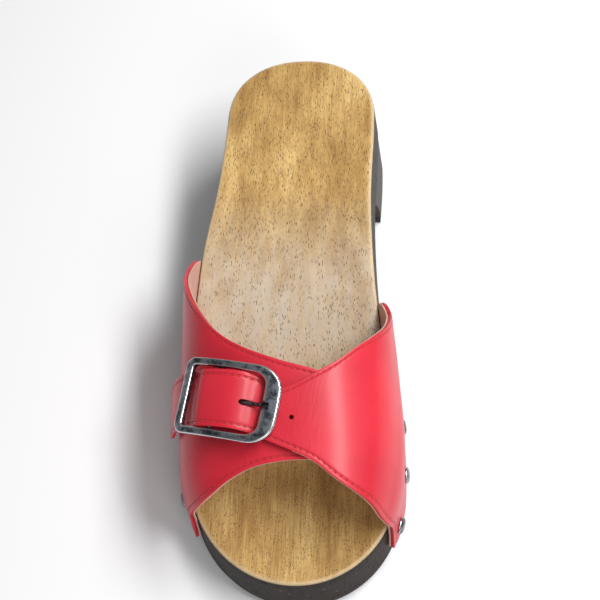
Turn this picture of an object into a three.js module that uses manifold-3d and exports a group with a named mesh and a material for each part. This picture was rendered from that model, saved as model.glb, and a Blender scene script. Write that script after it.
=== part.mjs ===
// A wooden clog for the right foot: a contoured wooden sole with a heel block, rubber treads,
// two crossing leather panels nailed to its sides, and a buckle that joins them over the instep.
// Millimetres, +Z up. The toe points along -Y and the outer (lateral) side lies along -X.
import * as THREE from "three";
import { ParametricGeometry } from "three/addons/geometries/ParametricGeometry.js";
import { mergeVertices } from "three/addons/utils/BufferGeometryUtils.js";
import Module from "manifold-3d";

const wasm = await Module();
wasm.setup();

// ---------- driving dimensions ----------
const soleLength = 250;
const ballWidth = 92; // across the sole at the ball of the foot
const heelHeight = 58; // footbed above the ground at the heel
const toeHeight = 26; // footbed above the ground at the toe
const plateThickness = 23; // sole plate at the ball
const dishDepth = 1.4; // footbed below its own rim
const sideSlope = 1.2; // how far the rim lies inside the plate's lower edge
const toeSlope = 3.2; // the same at the tip of the toe
const treadThickness = 3;
const treadInset = 0.8;
const treadEnd = -28; // where the forefoot tread stops, from the middle of the sole
const heelTreadThickness = 5;
const heelFlare = 1.6;
const breastBottom = 67; // front face of the heel, from the middle of the sole
const breastTop = 58;

const seam = 0.3; // space between pieces that touch
const liningThickness = 0.8;
const leatherThickness = 1.4;
const strapThickness = 1.5;
const archExponent = 2.5;
const marginDrop = 14.5; // how far the leather reaches down the side of the sole

const strapWidth = 22.5;
const buckleLength = 37;
const wideBar = 6;
const narrowBar = 3.2;
const frameThickness = 2.6;
const frameSlack = 1.3; // between the strap's edge and the frame
const frameLift = 1.3; // between the strap and the bar that lies on it
const rodRadius = 1.3;
const rodFromOuterEnd = 13;
const outerEndCorner = 4; // corner radii of the frame and of its opening
const innerEndCorner = 9.5;
const openingOuterCorner = 1.6;
const openingInnerCorner = 4.5;
const lugRadius = 2.6;
const prongRadius = 0.9;
const prongRingWall = 1.2;
const prongRingWidth = 2.4;
const prongRest = 1.2; // depth of the notch that the prong's tip lies in
const chapeThickness = 1.4;
const chapeLoopWall = 0.7;
const chapeWidth = 16;
const chapeReach = 25; // from the rod to the chape's sewn end
const spareHoleRadius = 0.9;

const tackHeadRadius = 3.7;
const tackHeadHeight = 1.6;
const tackHeadLift = 0.3; // between the leather and the head
const tackShankRadius = 0.9;
const tackShankLength = 12;
const lateralTacks = 6;
const medialTacks = 5;
const tackEndDistance = 8;
const lateralFrontDistance = 15; // the first outer tack sits further back
const heelNailRadius = 1.3;
const heelNailDepth = 16; // how far a heel nail enters the sole plate

// ---------- curves ----------
const halfLength = soleLength / 2;

// Smooth value through stations of [place, value].
function through(stations, place) {
  const last = stations.length - 1;
  const at = Math.min(Math.max(place, stations[0][0]), stations[last][0]);
  let k = 0;
  while (k < last - 1 && at > stations[k + 1][0]) k += 1;
  const slope = (i) => {
    const before = stations[Math.max(i - 1, 0)];
    const after = stations[Math.min(i + 1, last)];
    return (after[1] - before[1]) / (after[0] - before[0]);
  };
  const [x0, y0] = stations[k];
  const [x1, y1] = stations[k + 1];
  const h = x1 - x0;
  const t = (at - x0) / h;
  const t2 = t * t;
  const t3 = t2 * t;
  return (2 * t3 - 3 * t2 + 1) * y0 + (t3 - 2 * t2 + t) * h * slope(k)
    + (3 * t2 - 2 * t3) * y1 + (t3 - t2) * h * slope(k + 1);
}

// Places along the sole are shares of its length, from -0.5 at the toe to 0.5 at the heel.
const alongSole = (share) => share * soleLength;
const placed = (rows, scale) => rows.map(([share, value]) => [alongSole(share), value * scale]);

// Half widths are shares of the ball width.
const lateralHalf = placed([
  [-0.5, 0.484], [-0.38, 0.489], [-0.24, 0.516], [-0.06, 0.522],
  [0.088, 0.491], [0.22, 0.422], [0.34, 0.391], [0.5, 0.38],
], ballWidth);
const medialHalf = placed([
  [-0.5, 0.484], [-0.38, 0.49], [-0.248, 0.494], [-0.14, 0.461],
  [-0.032, 0.416], [0.08, 0.384], [0.2, 0.372], [0.34, 0.386], [0.5, 0.38],
], ballWidth);
const centreLine = placed([[-0.5, 2], [-0.4, 1], [-0.32, 0], [0.5, 0]], 1);

// The footbed rises from the toe height to the heel height.
const footbedRise = placed([
  [-0.5, 0], [-0.4, 0], [-0.3, 0.015], [-0.2, 0.06], [-0.08, 0.22],
  [0.04, 0.45], [0.16, 0.73], [0.28, 0.93], [0.4, 1], [0.5, 1.01],
], heelHeight - toeHeight);
const rimHeight = (y) => toeHeight + through(footbedRise, y);

// The plate's thickness below the rim, as a share of its thickness at the ball.
const plateShare = placed([
  [-0.5, 0.87], [-0.42, 0.95], [-0.36, 0.985], [-0.3, 1.005], [-0.2, 1.07],
  [-0.1, 1.08], [0, 1.06], [0.1, 1], [0.2, 0.96], [0.3, 1], [0.5, 0.98],
], plateThickness);
const treadTop = treadThickness + seam;
const plateBottom = (y) => {
  const flatEnd = alongSole(-0.18);
  const flatStart = alongSole(-0.37);
  const plain = rimHeight(y) - through(plateShare, y);
  if (y > flatEnd) return Math.max(plain, treadTop);
  return y < flatStart ? Math.max(plain, treadTop) : treadTop;
};

const toeRound = 45;
const heelRound = 32;
const heelSquareness = 2.2;

// The sole's side at a height from 0 at the plate's lower edge to 1 at the rim.
const toeEnd = (height) => -halfLength + toeSlope * height;
const heelEnd = (height) => halfLength - sideSlope * height;
function soleEdge(side, y, height) {
  const toe = Math.min(Math.max((toeEnd(height) + toeRound - y) / toeRound, 0), 1);
  const heel = Math.min(Math.max((y - heelEnd(height) + heelRound) / heelRound, 0), 1);
  const roundness = Math.sqrt(1 - toe ** 2)
    * (1 - heel ** heelSquareness) ** (1 / heelSquareness);
  const half = through(side < 0 ? lateralHalf : medialHalf, y) - sideSlope * height;
  return through(centreLine, y) + side * half * roundness;
}

// ---------- the surface that the leather follows ----------
// across runs from -1.2 at the leather's lower edge on the outer side, over -1 at the rim and
// 0 on top of the foot, to 1 at the inner rim and 1.2 at the inner lower edge.
const archHeight = placed([
  [-0.42, 34], [-0.32, 40], [-0.22, 45.5], [-0.12, 47], [0, 46], [0.12, 42],
], 1);
const lateralBulge = placed([[-0.4, 0], [-0.24, 0], [-0.08, 0], [0, 1.5], [0.1, 4]], 1);
const medialBulge = placed([[-0.4, 0], [-0.24, 0], [-0.16, 1], [-0.08, 3], [0.02, 5]], 1);
const marginSpan = 0.2;
// The leather also swells just above the inner rim, most at a share of the way up the foot.
const medialSwell = placed([[-0.4, 0], [-0.32, 0.5], [-0.24, 1], [-0.12, 1.1], [0.02, 0.6]], 1);
const swellPower = 4;
const swellPeak = swellPower / (swellPower + 1);
const swellShape = (rise) => (
  (rise ** swellPower * (1 - rise)) / (swellPeak ** swellPower * (1 - swellPeak))
);

function archPoint(across, y) {
  const side = across < 0 ? -1 : 1;
  const rim = rimHeight(y);
  const outer = soleEdge(-1, y, 1);
  const inner = soleEdge(1, y, 1);
  const middle = (outer + inner) / 2;
  const half = (inner - outer) / 2;
  const beyond = Math.abs(across) - 1;
  if (beyond > 0) {
    const down = (beyond / marginSpan) * marginDrop;
    const height = 1 - down / (rim - plateBottom(y));
    return new THREE.Vector3(soleEdge(side, y, height), y, rim - down);
  }
  const angle = (Math.abs(across) * Math.PI) / 2;
  const reach = ((Math.sin(angle) / half) ** archExponent
    + (Math.cos(angle) / through(archHeight, y)) ** archExponent) ** (-1 / archExponent);
  const swell = side < 0 ? 0 : through(medialSwell, y) * swellShape(across);
  const bulge = through(side < 0 ? lateralBulge : medialBulge, y) * Math.sin(2 * angle) + swell;
  return new THREE.Vector3(
    middle + side * (reach * Math.sin(angle) + bulge),
    y,
    rim + reach * Math.cos(angle),
  );
}

function archNormal(across, y) {
  const step = 0.004;
  const along = archPoint(across, y + 0.4).sub(archPoint(across, y - 0.4));
  return archPoint(across + step, y).sub(archPoint(across - step, y)).cross(along).normalize();
}

const archOffset = (across, y, height) => (
  archPoint(across, y).addScaledVector(archNormal(across, y), height)
);

// ---------- solids ----------
function toManifold(geometry) {
  const bare = geometry.clone();
  bare.deleteAttribute("normal");
  bare.deleteAttribute("uv");
  const merged = mergeVertices(bare, 1e-4);
  const at = merged.attributes.position;
  const corner = (i) => new THREE.Vector3().fromBufferAttribute(at, i);
  const faces = [];
  let volume = 0;
  for (let i = 0; i < merged.index.count; i += 3) {
    const [a, b, c] = [0, 1, 2].map((k) => merged.index.getX(i + k));
    if (a === b || b === c || c === a) continue;
    faces.push(a, b, c);
    volume += corner(a).dot(corner(b).cross(corner(c)));
  }
  if (volume < 0) faces.reverse();
  return new wasm.Manifold(new wasm.Mesh({
    numProp: 3,
    vertProperties: new Float32Array(at.array),
    triVerts: new Uint32Array(faces),
  }));
}

function named(name, solid, material) {
  const mesh = solid.getMesh();
  const geometry = new THREE.BufferGeometry();
  geometry.setAttribute("position", new THREE.BufferAttribute(mesh.vertProperties, 3));
  geometry.setIndex(new THREE.BufferAttribute(mesh.triVerts, 1));
  geometry.computeVertexNormals();
  const piece = new THREE.Mesh(geometry, material.clone());
  piece.name = name;
  return piece;
}

// A closed skin over rings of points, each ring in the same order, the first and last a point.
function loft(ringPoint, around, rings) {
  return toManifold(new ParametricGeometry((u, v, target) => {
    const step = Math.round(u * around) % around;
    target.copy(ringPoint(step / around, Math.round(v * rings)));
  }, around, rings));
}

// A sheet of leather: shares run 0..1 from end to end and from front edge to back edge.
function sheet(surfacePoint, lengthSteps, widthSteps) {
  const around = 2 * widthSteps + 2;
  const rows = lengthSteps + 2;
  return toManifold(new ParametricGeometry((u, v, target) => {
    const i = Math.round(u * around) % around;
    const j = Math.round(v * rows);
    const outside = i <= widthSteps;
    const width = (outside ? i : around - 1 - i) / widthSteps;
    const length = Math.min(Math.max(j - 1, 0), lengthSteps) / lengthSteps;
    const closed = j === 0 || j === rows;
    target.copy(surfacePoint(length, width, closed ? 0.5 : Number(outside)));
  }, around, rows));
}

// A transform that stands a shape made along +Y on a point, with +Y along the given direction.
function standing(point, direction) {
  const turn = new THREE.Quaternion().setFromUnitVectors(new THREE.Vector3(0, 1, 0), direction);
  return new THREE.Matrix4().compose(point, turn, new THREE.Vector3(1, 1, 1));
}

function cylinderBetween(from, to, radius, sides) {
  const direction = to.clone().sub(from);
  const cylinder = new THREE.CylinderGeometry(radius, radius, direction.length(), sides);
  const middle = from.clone().add(to).multiplyScalar(0.5);
  return toManifold(cylinder.applyMatrix4(standing(middle, direction.normalize())));
}

// ---------- materials ----------
const footbedWood = new THREE.MeshStandardMaterial({ color: 0xc9a566, roughness: 0.45 });
const heelWood = new THREE.MeshStandardMaterial({ color: 0x352821, roughness: 0.5 });
const rubber = new THREE.MeshStandardMaterial({ color: 0x1d1b1a, roughness: 0.85 });
const redLeather = new THREE.MeshStandardMaterial({ color: 0xd92a38, roughness: 0.42 });
const lining = new THREE.MeshStandardMaterial({ color: 0xdba79a, roughness: 0.8 });
const oldSilver = new THREE.MeshStandardMaterial({ color: 0x6d7478, roughness: 0.35, metalness: 1 });
const steel = new THREE.MeshStandardMaterial({ color: 0x8a8c8f, roughness: 0.4, metalness: 1 });

// ---------- wooden sole ----------
const sideSteps = 34;

// Once round the sole: down the inner side from toe to heel, then back along the outer side.
function outlinePoint(share, height) {
  const side = share < 0.5 ? 1 : -1;
  const run = side > 0 ? share * 2 : 2 - share * 2;
  const y = THREE.MathUtils.lerp(toeEnd(height), heelEnd(height), (1 - Math.cos(Math.PI * run)) / 2);
  return new THREE.Vector2(soleEdge(side, y, height), y);
}

function solePlate(lowered = 0) {
  const bottomShares = [0, 0.45, 0.8, 0.99];
  const sideHeights = [0.05, 0.35, 0.65, 0.95];
  const topShares = [0.985, 0.93, 0.8, 0.6, 0.4, 0.2, 0];
  const rings = bottomShares.length + sideHeights.length + topShares.length - 1;
  return loft((share, ring) => {
    const topRing = ring - bottomShares.length - sideHeights.length;
    if (ring < bottomShares.length) {
      const flat = outlinePoint(share, 0).multiplyScalar(bottomShares[ring]);
      return new THREE.Vector3(flat.x, flat.y, plateBottom(flat.y) - lowered);
    }
    if (topRing < 0) {
      const height = sideHeights[ring - bottomShares.length];
      const flat = outlinePoint(share, height);
      const low = plateBottom(flat.y);
      const z = low + (rimHeight(flat.y) - low) * height - lowered;
      return new THREE.Vector3(flat.x, flat.y, z);
    }
    const k = topShares[topRing];
    const flat = outlinePoint(share, 1).multiplyScalar(k);
    const dish = dishDepth * (1 - (k / topShares[0]) ** 4);
    return new THREE.Vector3(flat.x, flat.y, rimHeight(flat.y) - dish - lowered);
  }, 2 * sideSteps, rings);
}

// ---------- heel ----------
const heelSteps = 22;
const breastSteps = 6;
const heelAround = 2 * heelSteps + breastSteps;

// Once round the heel at a height from 0 at its base to 1 under the sole plate.
function heelPoint(share, height) {
  const step = Math.round(share * heelAround);
  const breast = THREE.MathUtils.lerp(breastBottom, breastTop, height ** 2);
  const flare = heelFlare * (1 - height) - seam;
  const sideRun = step <= heelSteps ? step / heelSteps : (2 * heelSteps - step) / heelSteps;
  if (step > 2 * heelSteps) {
    const across = (step - 2 * heelSteps) / breastSteps;
    const from = soleEdge(-1, breast, 0) - flare;
    const to = soleEdge(1, breast, 0) + flare;
    const hollow = 3 * Math.sin(Math.PI * across);
    return new THREE.Vector2(THREE.MathUtils.lerp(from, to, across), breast + hollow);
  }
  const side = step <= heelSteps ? 1 : -1;
  const end = halfLength - seam;
  const y = THREE.MathUtils.lerp(breast, end, Math.sin((Math.PI / 2) * sideRun));
  const x = soleEdge(side, y, 0);
  const spread = flare * Math.cos((Math.PI / 2) * sideRun ** 4);
  return new THREE.Vector2(x + side * spread, y);
}

function heelSlab(bottom, top, heightAt, shrink) {
  const centre = new THREE.Vector2(0, (breastBottom + halfLength) / 2);
  const shares = [0, 0.5, 1, 1, 1, 1, 0.97, 0.5, 0];
  const levels = [0, 0, 0, 1 / 3, 2 / 3, 1, 1, 1, 1];
  return loft((share, ring) => {
    const level = levels[ring];
    const flat = heelPoint(share, heightAt(level)).sub(centre);
    flat.multiplyScalar(shares[ring] * shrink).add(centre);
    const low = bottom(flat.y);
    const high = top(flat.y, ring > shares.indexOf(0.97) - 1);
    return new THREE.Vector3(flat.x, flat.y, THREE.MathUtils.lerp(low, high, level));
  }, heelAround, shares.length - 1);
}

const heelBase = heelTreadThickness + seam;
// The block's top runs up into the plate and is cut back to the plate's own underside.
const heelBlockSolid = () => heelSlab(
  () => heelBase,
  (y, inside) => plateBottom(y) + (inside ? 1 : -seam),
  (level) => level,
  1,
).subtract(solePlate(seam));
const heelTreadSolid = () => heelSlab(() => 0, () => heelTreadThickness, () => 0, 0.99);

const heelNailPlaces = [[0, 82], [-14, 104], [14, 104]];
function heelNail([x, y], clearance) {
  const top = plateBottom(y) + heelNailDepth + clearance;
  const from = new THREE.Vector3(x, y, clearance ? heelTreadThickness : heelBase + seam);
  return cylinderBetween(from, new THREE.Vector3(x, y, top), heelNailRadius + clearance, 12);
}

// ---------- forefoot tread ----------
function forefootTread() {
  const shares = [0, 0.6, 1, 1, 0.97, 0.6, 0];
  const levels = [0, 0, 0, 1, 1, 1, 1];
  const steps = 24;
  const endSteps = 6;
  const around = 2 * steps + endSteps;
  const centreY = alongSole(-0.28);
  return loft((share, ring) => {
    const step = Math.round(share * around);
    const toe = -halfLength + treadInset;
    let x;
    let y;
    if (step <= 2 * steps) {
      const side = step <= steps ? -1 : 1;
      const run = step <= steps ? 1 - step / steps : step / steps - 1;
      y = THREE.MathUtils.lerp(toe, treadEnd, 1 - Math.cos((Math.PI / 2) * run));
      x = soleEdge(side, y, 0);
      x -= side * Math.min(treadInset, Math.abs(x));
    } else {
      const across = (step - 2 * steps) / endSteps;
      y = treadEnd + 4 * Math.sin(Math.PI * across);
      x = THREE.MathUtils.lerp(
        soleEdge(1, treadEnd, 0) - treadInset,
        soleEdge(-1, treadEnd, 0) + treadInset,
        across,
      );
    }
    x *= shares[ring];
    y = centreY + (y - centreY) * shares[ring];
    const top = plateBottom(y) - seam;
    const inside = shares[ring] < 1 ? 1 + seam : 0;
    return new THREE.Vector3(x, y, levels[ring] ? top + inside : top - treadThickness);
  }, around, shares.length - 1).subtract(solePlate(seam));
}

// ---------- the strap's own coordinates ----------
// along: millimetres from the buckle's rod towards the inner side; over: across the strap,
// towards the heel; height: above the arch.
const rodAcross = -0.34;
const rodY = alongSole(-0.2325);
const strapLean = 0.27; // how far the strap's cross direction leans from the arch's own
const strapCosine = 0.945;
const rodSpan = archPoint(rodAcross + 0.01, rodY).distanceTo(archPoint(rodAcross - 0.01, rodY)) / 0.02;
const strapBend = [[-36, 4.5], [-20, 3.7], [-11, 2.2], [0, 0], [13.5, -3.2], [26, -8.2], [32, -10]];

function strapPlace(along, over) {
  return [
    rodAcross + (along + over * strapLean) / rodSpan,
    rodY + through(strapBend, along) + over * strapCosine,
  ];
}
const strapPoint = (along, over, height) => archOffset(...strapPlace(along, over), height);

// ---------- leather panels ----------
const liningBase = seam;
const leatherBase = liningBase + liningThickness + seam;
const panelTop = leatherBase + leatherThickness;

const spline = (rows) => new THREE.SplineCurve(rows.map(([a, b]) => new THREE.Vector2(a, b)));
const alongRows = (rows) => rows.map(([across, share]) => [across, alongSole(share)]);

// The outer panel's edges, as [across, along the sole].
const lateralFront = spline(alongRows([
  [-1.2, -0.386], [-1, -0.374], [-0.84, -0.378], [-0.66, -0.381], [-0.5, -0.3735],
  [-0.35, -0.357], [-0.19, -0.341], [0, -0.332], [0.2, -0.329], [0.42, -0.328],
]));
const lateralBack = spline(alongRows([
  [-1.2, 0.094], [-1, 0.086], [-0.8, 0.04], [-0.62, -0.012], [-0.48, -0.066],
  [-0.34, -0.118], [-0.19, -0.152], [0, -0.175], [0.21, -0.191], [0.42, -0.208],
]));

// The inner panel starts at its lower edge, runs over the foot and ends in the strap.
const panelEdges = alongRows([
  [1.2, -0.402], [1, -0.389], [0.82, -0.394], [0.66, -0.392],
  [0.48, -0.377], [0.32, -0.357], [0.17, -0.33],
]);
const panelBackEdges = alongRows([
  [1.2, 0.006], [1, 0.008], [0.82, -0.034], [0.66, -0.07],
  [0.52, -0.106], [0.4, -0.14], [0.26, -0.181],
]);
const tabCorner = 3;
const strapStations = [
  [25, 0], [18, 0], [11, 0], [5, 0], [0, 0], [-5, 0], [-10, 0], [-15, 0], [-22, 0],
  [-30, 0], [-33.3, tabCorner],
];
const strapEdge = (sign) => strapStations.map(([along, cut]) => (
  strapPlace(along, sign * (strapWidth / 2 - cut))
));
const medialFront = spline([...panelEdges, ...strapEdge(-1)]);
const medialBack = spline([...panelBackEdges, ...strapEdge(1)]);
const panelShare = panelEdges.length / (panelEdges.length + strapStations.length - 1);

// The strap climbs over the rod and dips under the two end bars.
const overLateral = panelTop + seam;
const overlapEnd = 0.46;
const overlapStart = 0.74;
const chapeTop = overLateral + chapeThickness;
const tailSeat = chapeTop + seam;
const rodHeight = overLateral + rodRadius + prongRingWall + 2 * seam;
const strapSeat = overLateral + liningThickness + seam;
const strapCrest = rodHeight + rodRadius + prongRingWall + 2 * seam;
const strapHeights = [
  [-36, tailSeat], [-13, tailSeat], [-9.2, tailSeat + 0.1], [-7.4, tailSeat + 1.3],
  [-4, strapCrest - 0.4], [0, strapCrest + 0.2], [4.5, strapCrest + 0.1], [8, strapSeat + 4.5],
  [11, strapSeat + 3.1], [14, strapSeat + 1.1], [16.5, strapSeat + 0.1], [19, strapSeat], [36, strapSeat],
];
const panelLift = (across) => (
  overLateral * (1 - THREE.MathUtils.smoothstep(across, overlapEnd, overlapStart))
);

function panelSheet(front, back, from, to, base, thickness, steps, inset = 0) {
  return sheet((length, width, level) => {
    const run = THREE.MathUtils.lerp(from, to, length);
    const a = front.getPoint(run);
    const b = back.getPoint(run);
    const place = a.lerp(b, THREE.MathUtils.lerp(inset, 1 - inset, width));
    return archOffset(place.x, place.y, base(place.x, run, width) + level * thickness);
  }, steps[0], steps[1]);
}

const lateralUpper = () => (
  panelSheet(lateralFront, lateralBack, 0, 1, () => leatherBase, leatherThickness, [24, 14])
);
const lateralLining = () => (
  panelSheet(lateralFront, lateralBack, 0, 1, () => liningBase, liningThickness, [20, 14])
);
const medialUpper = () => {
  const base = (across, run, width) => {
    const over = (width - 0.5) * strapWidth;
    const strap = through(strapHeights, (across - rodAcross) * rodSpan - over * strapLean);
    const lift = leatherBase + panelLift(across);
    return run > panelShare - 0.06 ? Math.max(strap, lift) : lift;
  };
  return panelSheet(medialFront, medialBack, 0, 1, base, strapThickness, [48, 10]);
};
const medialLining = () => {
  const base = (across) => liningBase + panelLift(across);
  return panelSheet(medialFront, medialBack, 0, panelShare - 0.03, base, liningThickness, [22, 12]);
};

// ---------- tacks ----------
const tackAcross = 1.135;
function tackPlaces(front, back, side, count, frontDistance) {
  const from = front.getPoint(0).y + frontDistance;
  const to = back.getPoint(0).y - tackEndDistance;
  return Array.from({ length: count }, (_, i) => (
    [side * tackAcross, THREE.MathUtils.lerp(from, to, i / (count - 1))]
  ));
}

function tackFrame([across, y]) {
  const direction = archNormal(across, y);
  return standing(archOffset(across, y, panelTop + tackHeadLift), direction);
}

function tackSolid(place) {
  const profile = [new THREE.Vector2(0, -tackShankLength)];
  profile.push(new THREE.Vector2(tackShankRadius, -tackShankLength + 2));
  profile.push(new THREE.Vector2(tackShankRadius, 0));
  for (let i = 0; i <= 4; i += 1) {
    const angle = (Math.PI / 2) * (i / 4);
    profile.push(new THREE.Vector2(
      tackHeadRadius * Math.cos(angle) * (i === 4 ? 0 : 1),
      tackHeadHeight * Math.sin(angle),
    ));
  }
  return toManifold(new THREE.LatheGeometry(profile, 10).applyMatrix4(tackFrame(place)));
}

function tackHole(place) {
  const frame = tackFrame(place);
  const from = new THREE.Vector3(0, -tackShankLength - seam, 0).applyMatrix4(frame);
  const to = new THREE.Vector3(0, 1, 0).applyMatrix4(frame);
  return cylinderBetween(from, to, tackShankRadius + seam, 8);
}

// ---------- buckle ----------
const frameOuter = -rodFromOuterEnd;
const frameInner = buckleLength - rodFromOuterEnd;
const frameHalf = strapWidth / 2 + frameSlack + narrowBar;
const barPlace = frameInner - wideBar / 2; // the middle of the wide bar
const wideBarBase = strapSeat + strapThickness + frameLift;
const outerBarBase = tailSeat + strapThickness + frameLift;
const frameBase = (along) => (
  THREE.MathUtils.mapLinear(along, frameOuter, frameInner, outerBarBase, wideBarBase)
);

// A rounded rectangle in strap coordinates, with its own corner radius at each end.
function roundedRectangle(outer, inner, half, outerRadius, innerRadius, bow) {
  const points = [];
  const corners = [
    [inner - innerRadius, -half + innerRadius, innerRadius, -90],
    [inner - innerRadius, half - innerRadius, innerRadius, 0],
    [outer + outerRadius, half - outerRadius, outerRadius, 90],
    [outer + outerRadius, -half + outerRadius, outerRadius, 180],
  ];
  for (const [along, over, radius, start] of corners) {
    for (let i = 0; i <= 6; i += 1) {
      const angle = THREE.MathUtils.degToRad(start + 15 * i);
      points.push([along + radius * Math.cos(angle), over + radius * Math.sin(angle)]);
    }
    const next = corners[(corners.findIndex((row) => row[3] === start) + 1) % 4];
    const [fromAlong, fromOver] = points[points.length - 1];
    const radians = THREE.MathUtils.degToRad(next[3]);
    const toAlong = next[0] + next[2] * Math.cos(radians);
    const toOver = next[1] + next[2] * Math.sin(radians);
    for (let i = 1; i < 5; i += 1) {
      const t = i / 5;
      points.push([
        THREE.MathUtils.lerp(fromAlong, toAlong, t),
        THREE.MathUtils.lerp(fromOver, toOver, t),
      ]);
    }
  }
  const bowed = (along, over) => {
    const nearness = THREE.MathUtils.clamp((along - inner + innerRadius) / innerRadius, 0, 1);
    return bow * nearness * (1 - (over / half) ** 2);
  };
  return points.map(([along, over]) => [along + bowed(along, over), over]);
}

// The frame is stiff: its end bars and the rod all run the same way.
const rodMiddle = strapPoint(0, 0, rodHeight);
const rodDirection = strapPoint(barPlace, 8, 0).sub(strapPoint(barPlace, -8, 0)).normalize();
const rodFrom = rodMiddle.clone().addScaledVector(rodDirection, seam - frameHalf);
const rodTo = rodMiddle.clone().addScaledVector(rodDirection, frameHalf - seam);

// A point of the frame: its long section follows the strap's middle line.
function framePoint(along, over, height) {
  const point = strapPoint(along, 0, frameBase(along) + height);
  const slide = rodDirection.dot(point.clone().sub(rodMiddle));
  return point.addScaledVector(rodDirection, over - slide);
}

function prongTip() {
  const along = frameInner - wideBar + 2.4;
  return framePoint(along, 0, frameThickness - prongRest + prongRadius + seam);
}

function buckleFrame() {
  const outline = roundedRectangle(
    frameOuter, frameInner, frameHalf, outerEndCorner, innerEndCorner, 0.8,
  );
  const half = frameHalf - narrowBar;
  const opening = roundedRectangle(
    frameOuter + narrowBar, frameInner - wideBar, half, openingOuterCorner, openingInnerCorner, 0.3,
  );
  const section = [[0, 0], [0, 0.72], [0.16, 1], [0.84, 1], [1, 0.72], [1, 0]];
  const around = outline.length;
  const loop = toManifold(new ParametricGeometry((u, v, target) => {
    const i = Math.round(u * around) % around;
    const [inward, level] = section[Math.round(v * section.length) % section.length];
    const along = THREE.MathUtils.lerp(outline[i][0], opening[i][0], inward);
    const over = THREE.MathUtils.lerp(outline[i][1], opening[i][1], inward);
    target.copy(framePoint(along, over, level * frameThickness));
  }, around, section.length));
  let frame = loop;
  for (const sign of [-1, 1]) {
    const inside = rodMiddle.clone().addScaledVector(rodDirection, sign * (half + 0.1));
    const outside = rodMiddle.clone().addScaledVector(rodDirection, sign * (frameHalf - seam));
    frame = frame.add(cylinderBetween(inside, outside, lugRadius, 16));
  }
  const bore = cylinderBetween(
    rodMiddle.clone().addScaledVector(rodDirection, -frameHalf - 2),
    rodMiddle.clone().addScaledVector(rodDirection, frameHalf + 2),
    rodRadius + seam,
    16,
  );
  const tip = prongTip();
  const tipDirection = tip.clone().sub(rodMiddle).normalize();
  const notch = cylinderBetween(
    tip.clone().addScaledVector(tipDirection, -6),
    tip.clone().addScaledVector(tipDirection, 0.6),
    prongRadius + seam,
    12,
  );
  return frame.subtract(bore).subtract(notch);
}

function prongSolid() {
  const ringInner = rodRadius + seam;
  const ringOuter = ringInner + prongRingWall;
  const half = prongRingWidth / 2;
  const profile = [
    [ringInner, -half], [ringOuter, -half], [ringOuter, half], [ringInner, half], [ringInner, -half],
  ].map(([x, y]) => new THREE.Vector2(x, y));
  const ring = toManifold(
    new THREE.LatheGeometry(profile, 20).applyMatrix4(standing(rodMiddle, rodDirection)),
  );
  const tip = prongTip();
  const start = rodMiddle.clone().lerp(tip, (ringInner + 0.35) / rodMiddle.distanceTo(tip));
  return ring.add(cylinderBetween(start, tip, prongRadius, 12));
}

const slotHalfWidth = 1.3;
const prongSwing = THREE.MathUtils.degToRad(4.4);

// The room that the prong needs through the strap, from rest to its highest.
function prongSlot() {
  const tip = prongTip();
  let slot = null;
  for (let i = -2; i <= 5; i += 1) {
    const turn = new THREE.Quaternion().setFromAxisAngle(rodDirection, (-prongSwing * i) / 4);
    const reach = tip.clone().sub(rodMiddle).applyQuaternion(turn);
    const from = rodMiddle.clone().addScaledVector(reach, 0.16);
    const swept = cylinderBetween(from, rodMiddle.clone().add(reach), slotHalfWidth, 10);
    slot = slot ? slot.add(swept) : swept;
  }
  return slot;
}

function rodSolid() {
  return cylinderBetween(rodFrom, rodTo, rodRadius, 16);
}

// ---------- chape ----------
function chapeSolid() {
  const rise = [[-chapeReach, 0], [-6, 0], [-2, 0.7], [0, 1]];
  const tail = sheet((length, width, level) => {
    const along = THREE.MathUtils.lerp(-chapeReach, -1, length);
    const over = THREE.MathUtils.lerp(-chapeWidth / 2, chapeWidth / 2, width);
    return strapPoint(along, over, overLateral + through(rise, along) + level * chapeThickness);
  }, 12, 4);
  const loopRadius = rodRadius + seam + chapeLoopWall;
  const half = chapeWidth / 2;
  const loop = cylinderBetween(
    rodMiddle.clone().addScaledVector(rodDirection, -half),
    rodMiddle.clone().addScaledVector(rodDirection, half),
    loopRadius,
    20,
  );
  const bore = cylinderBetween(
    rodMiddle.clone().addScaledVector(rodDirection, -half - 1),
    rodMiddle.clone().addScaledVector(rodDirection, half + 1),
    rodRadius + seam,
    16,
  );
  const slotWidth = prongRingWidth + 4 * seam;
  const ringRoom = rodRadius + prongRingWall + 3 * seam;
  const prongRoom = cylinderBetween(
    rodMiddle.clone().addScaledVector(rodDirection, -slotWidth / 2),
    rodMiddle.clone().addScaledVector(rodDirection, slotWidth / 2),
    ringRoom,
    20,
  );
  return tail.add(loop).subtract(bore).subtract(prongRoom);
}

// ---------- assembly ----------
const clog = new THREE.Group();
const lateralPlaces = tackPlaces(lateralFront, lateralBack, -1, lateralTacks, lateralFrontDistance);
const medialPlaces = tackPlaces(medialFront, medialBack, 1, medialTacks, tackEndDistance);
const drilled = (solid, places) => places.reduce((left, place) => left.subtract(tackHole(place)), solid);

const nailHoles = (solid) => heelNailPlaces.reduce((left, place) => (
  left.subtract(heelNail(place, seam))
), solid);
const sole = drilled(nailHoles(solePlate()), [...lateralPlaces, ...medialPlaces]);
clog.add(named("sole_plate", sole, footbedWood));
clog.add(named("heel_block", nailHoles(heelBlockSolid()), heelWood));
clog.add(named("heel_tread", heelTreadSolid(), rubber));
clog.add(named("forefoot_tread", forefootTread(), rubber));
heelNailPlaces.forEach((place, i) => {
  clog.add(named(`heel_nail_${i + 1}`, heelNail(place, 0), steel));
});

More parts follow.
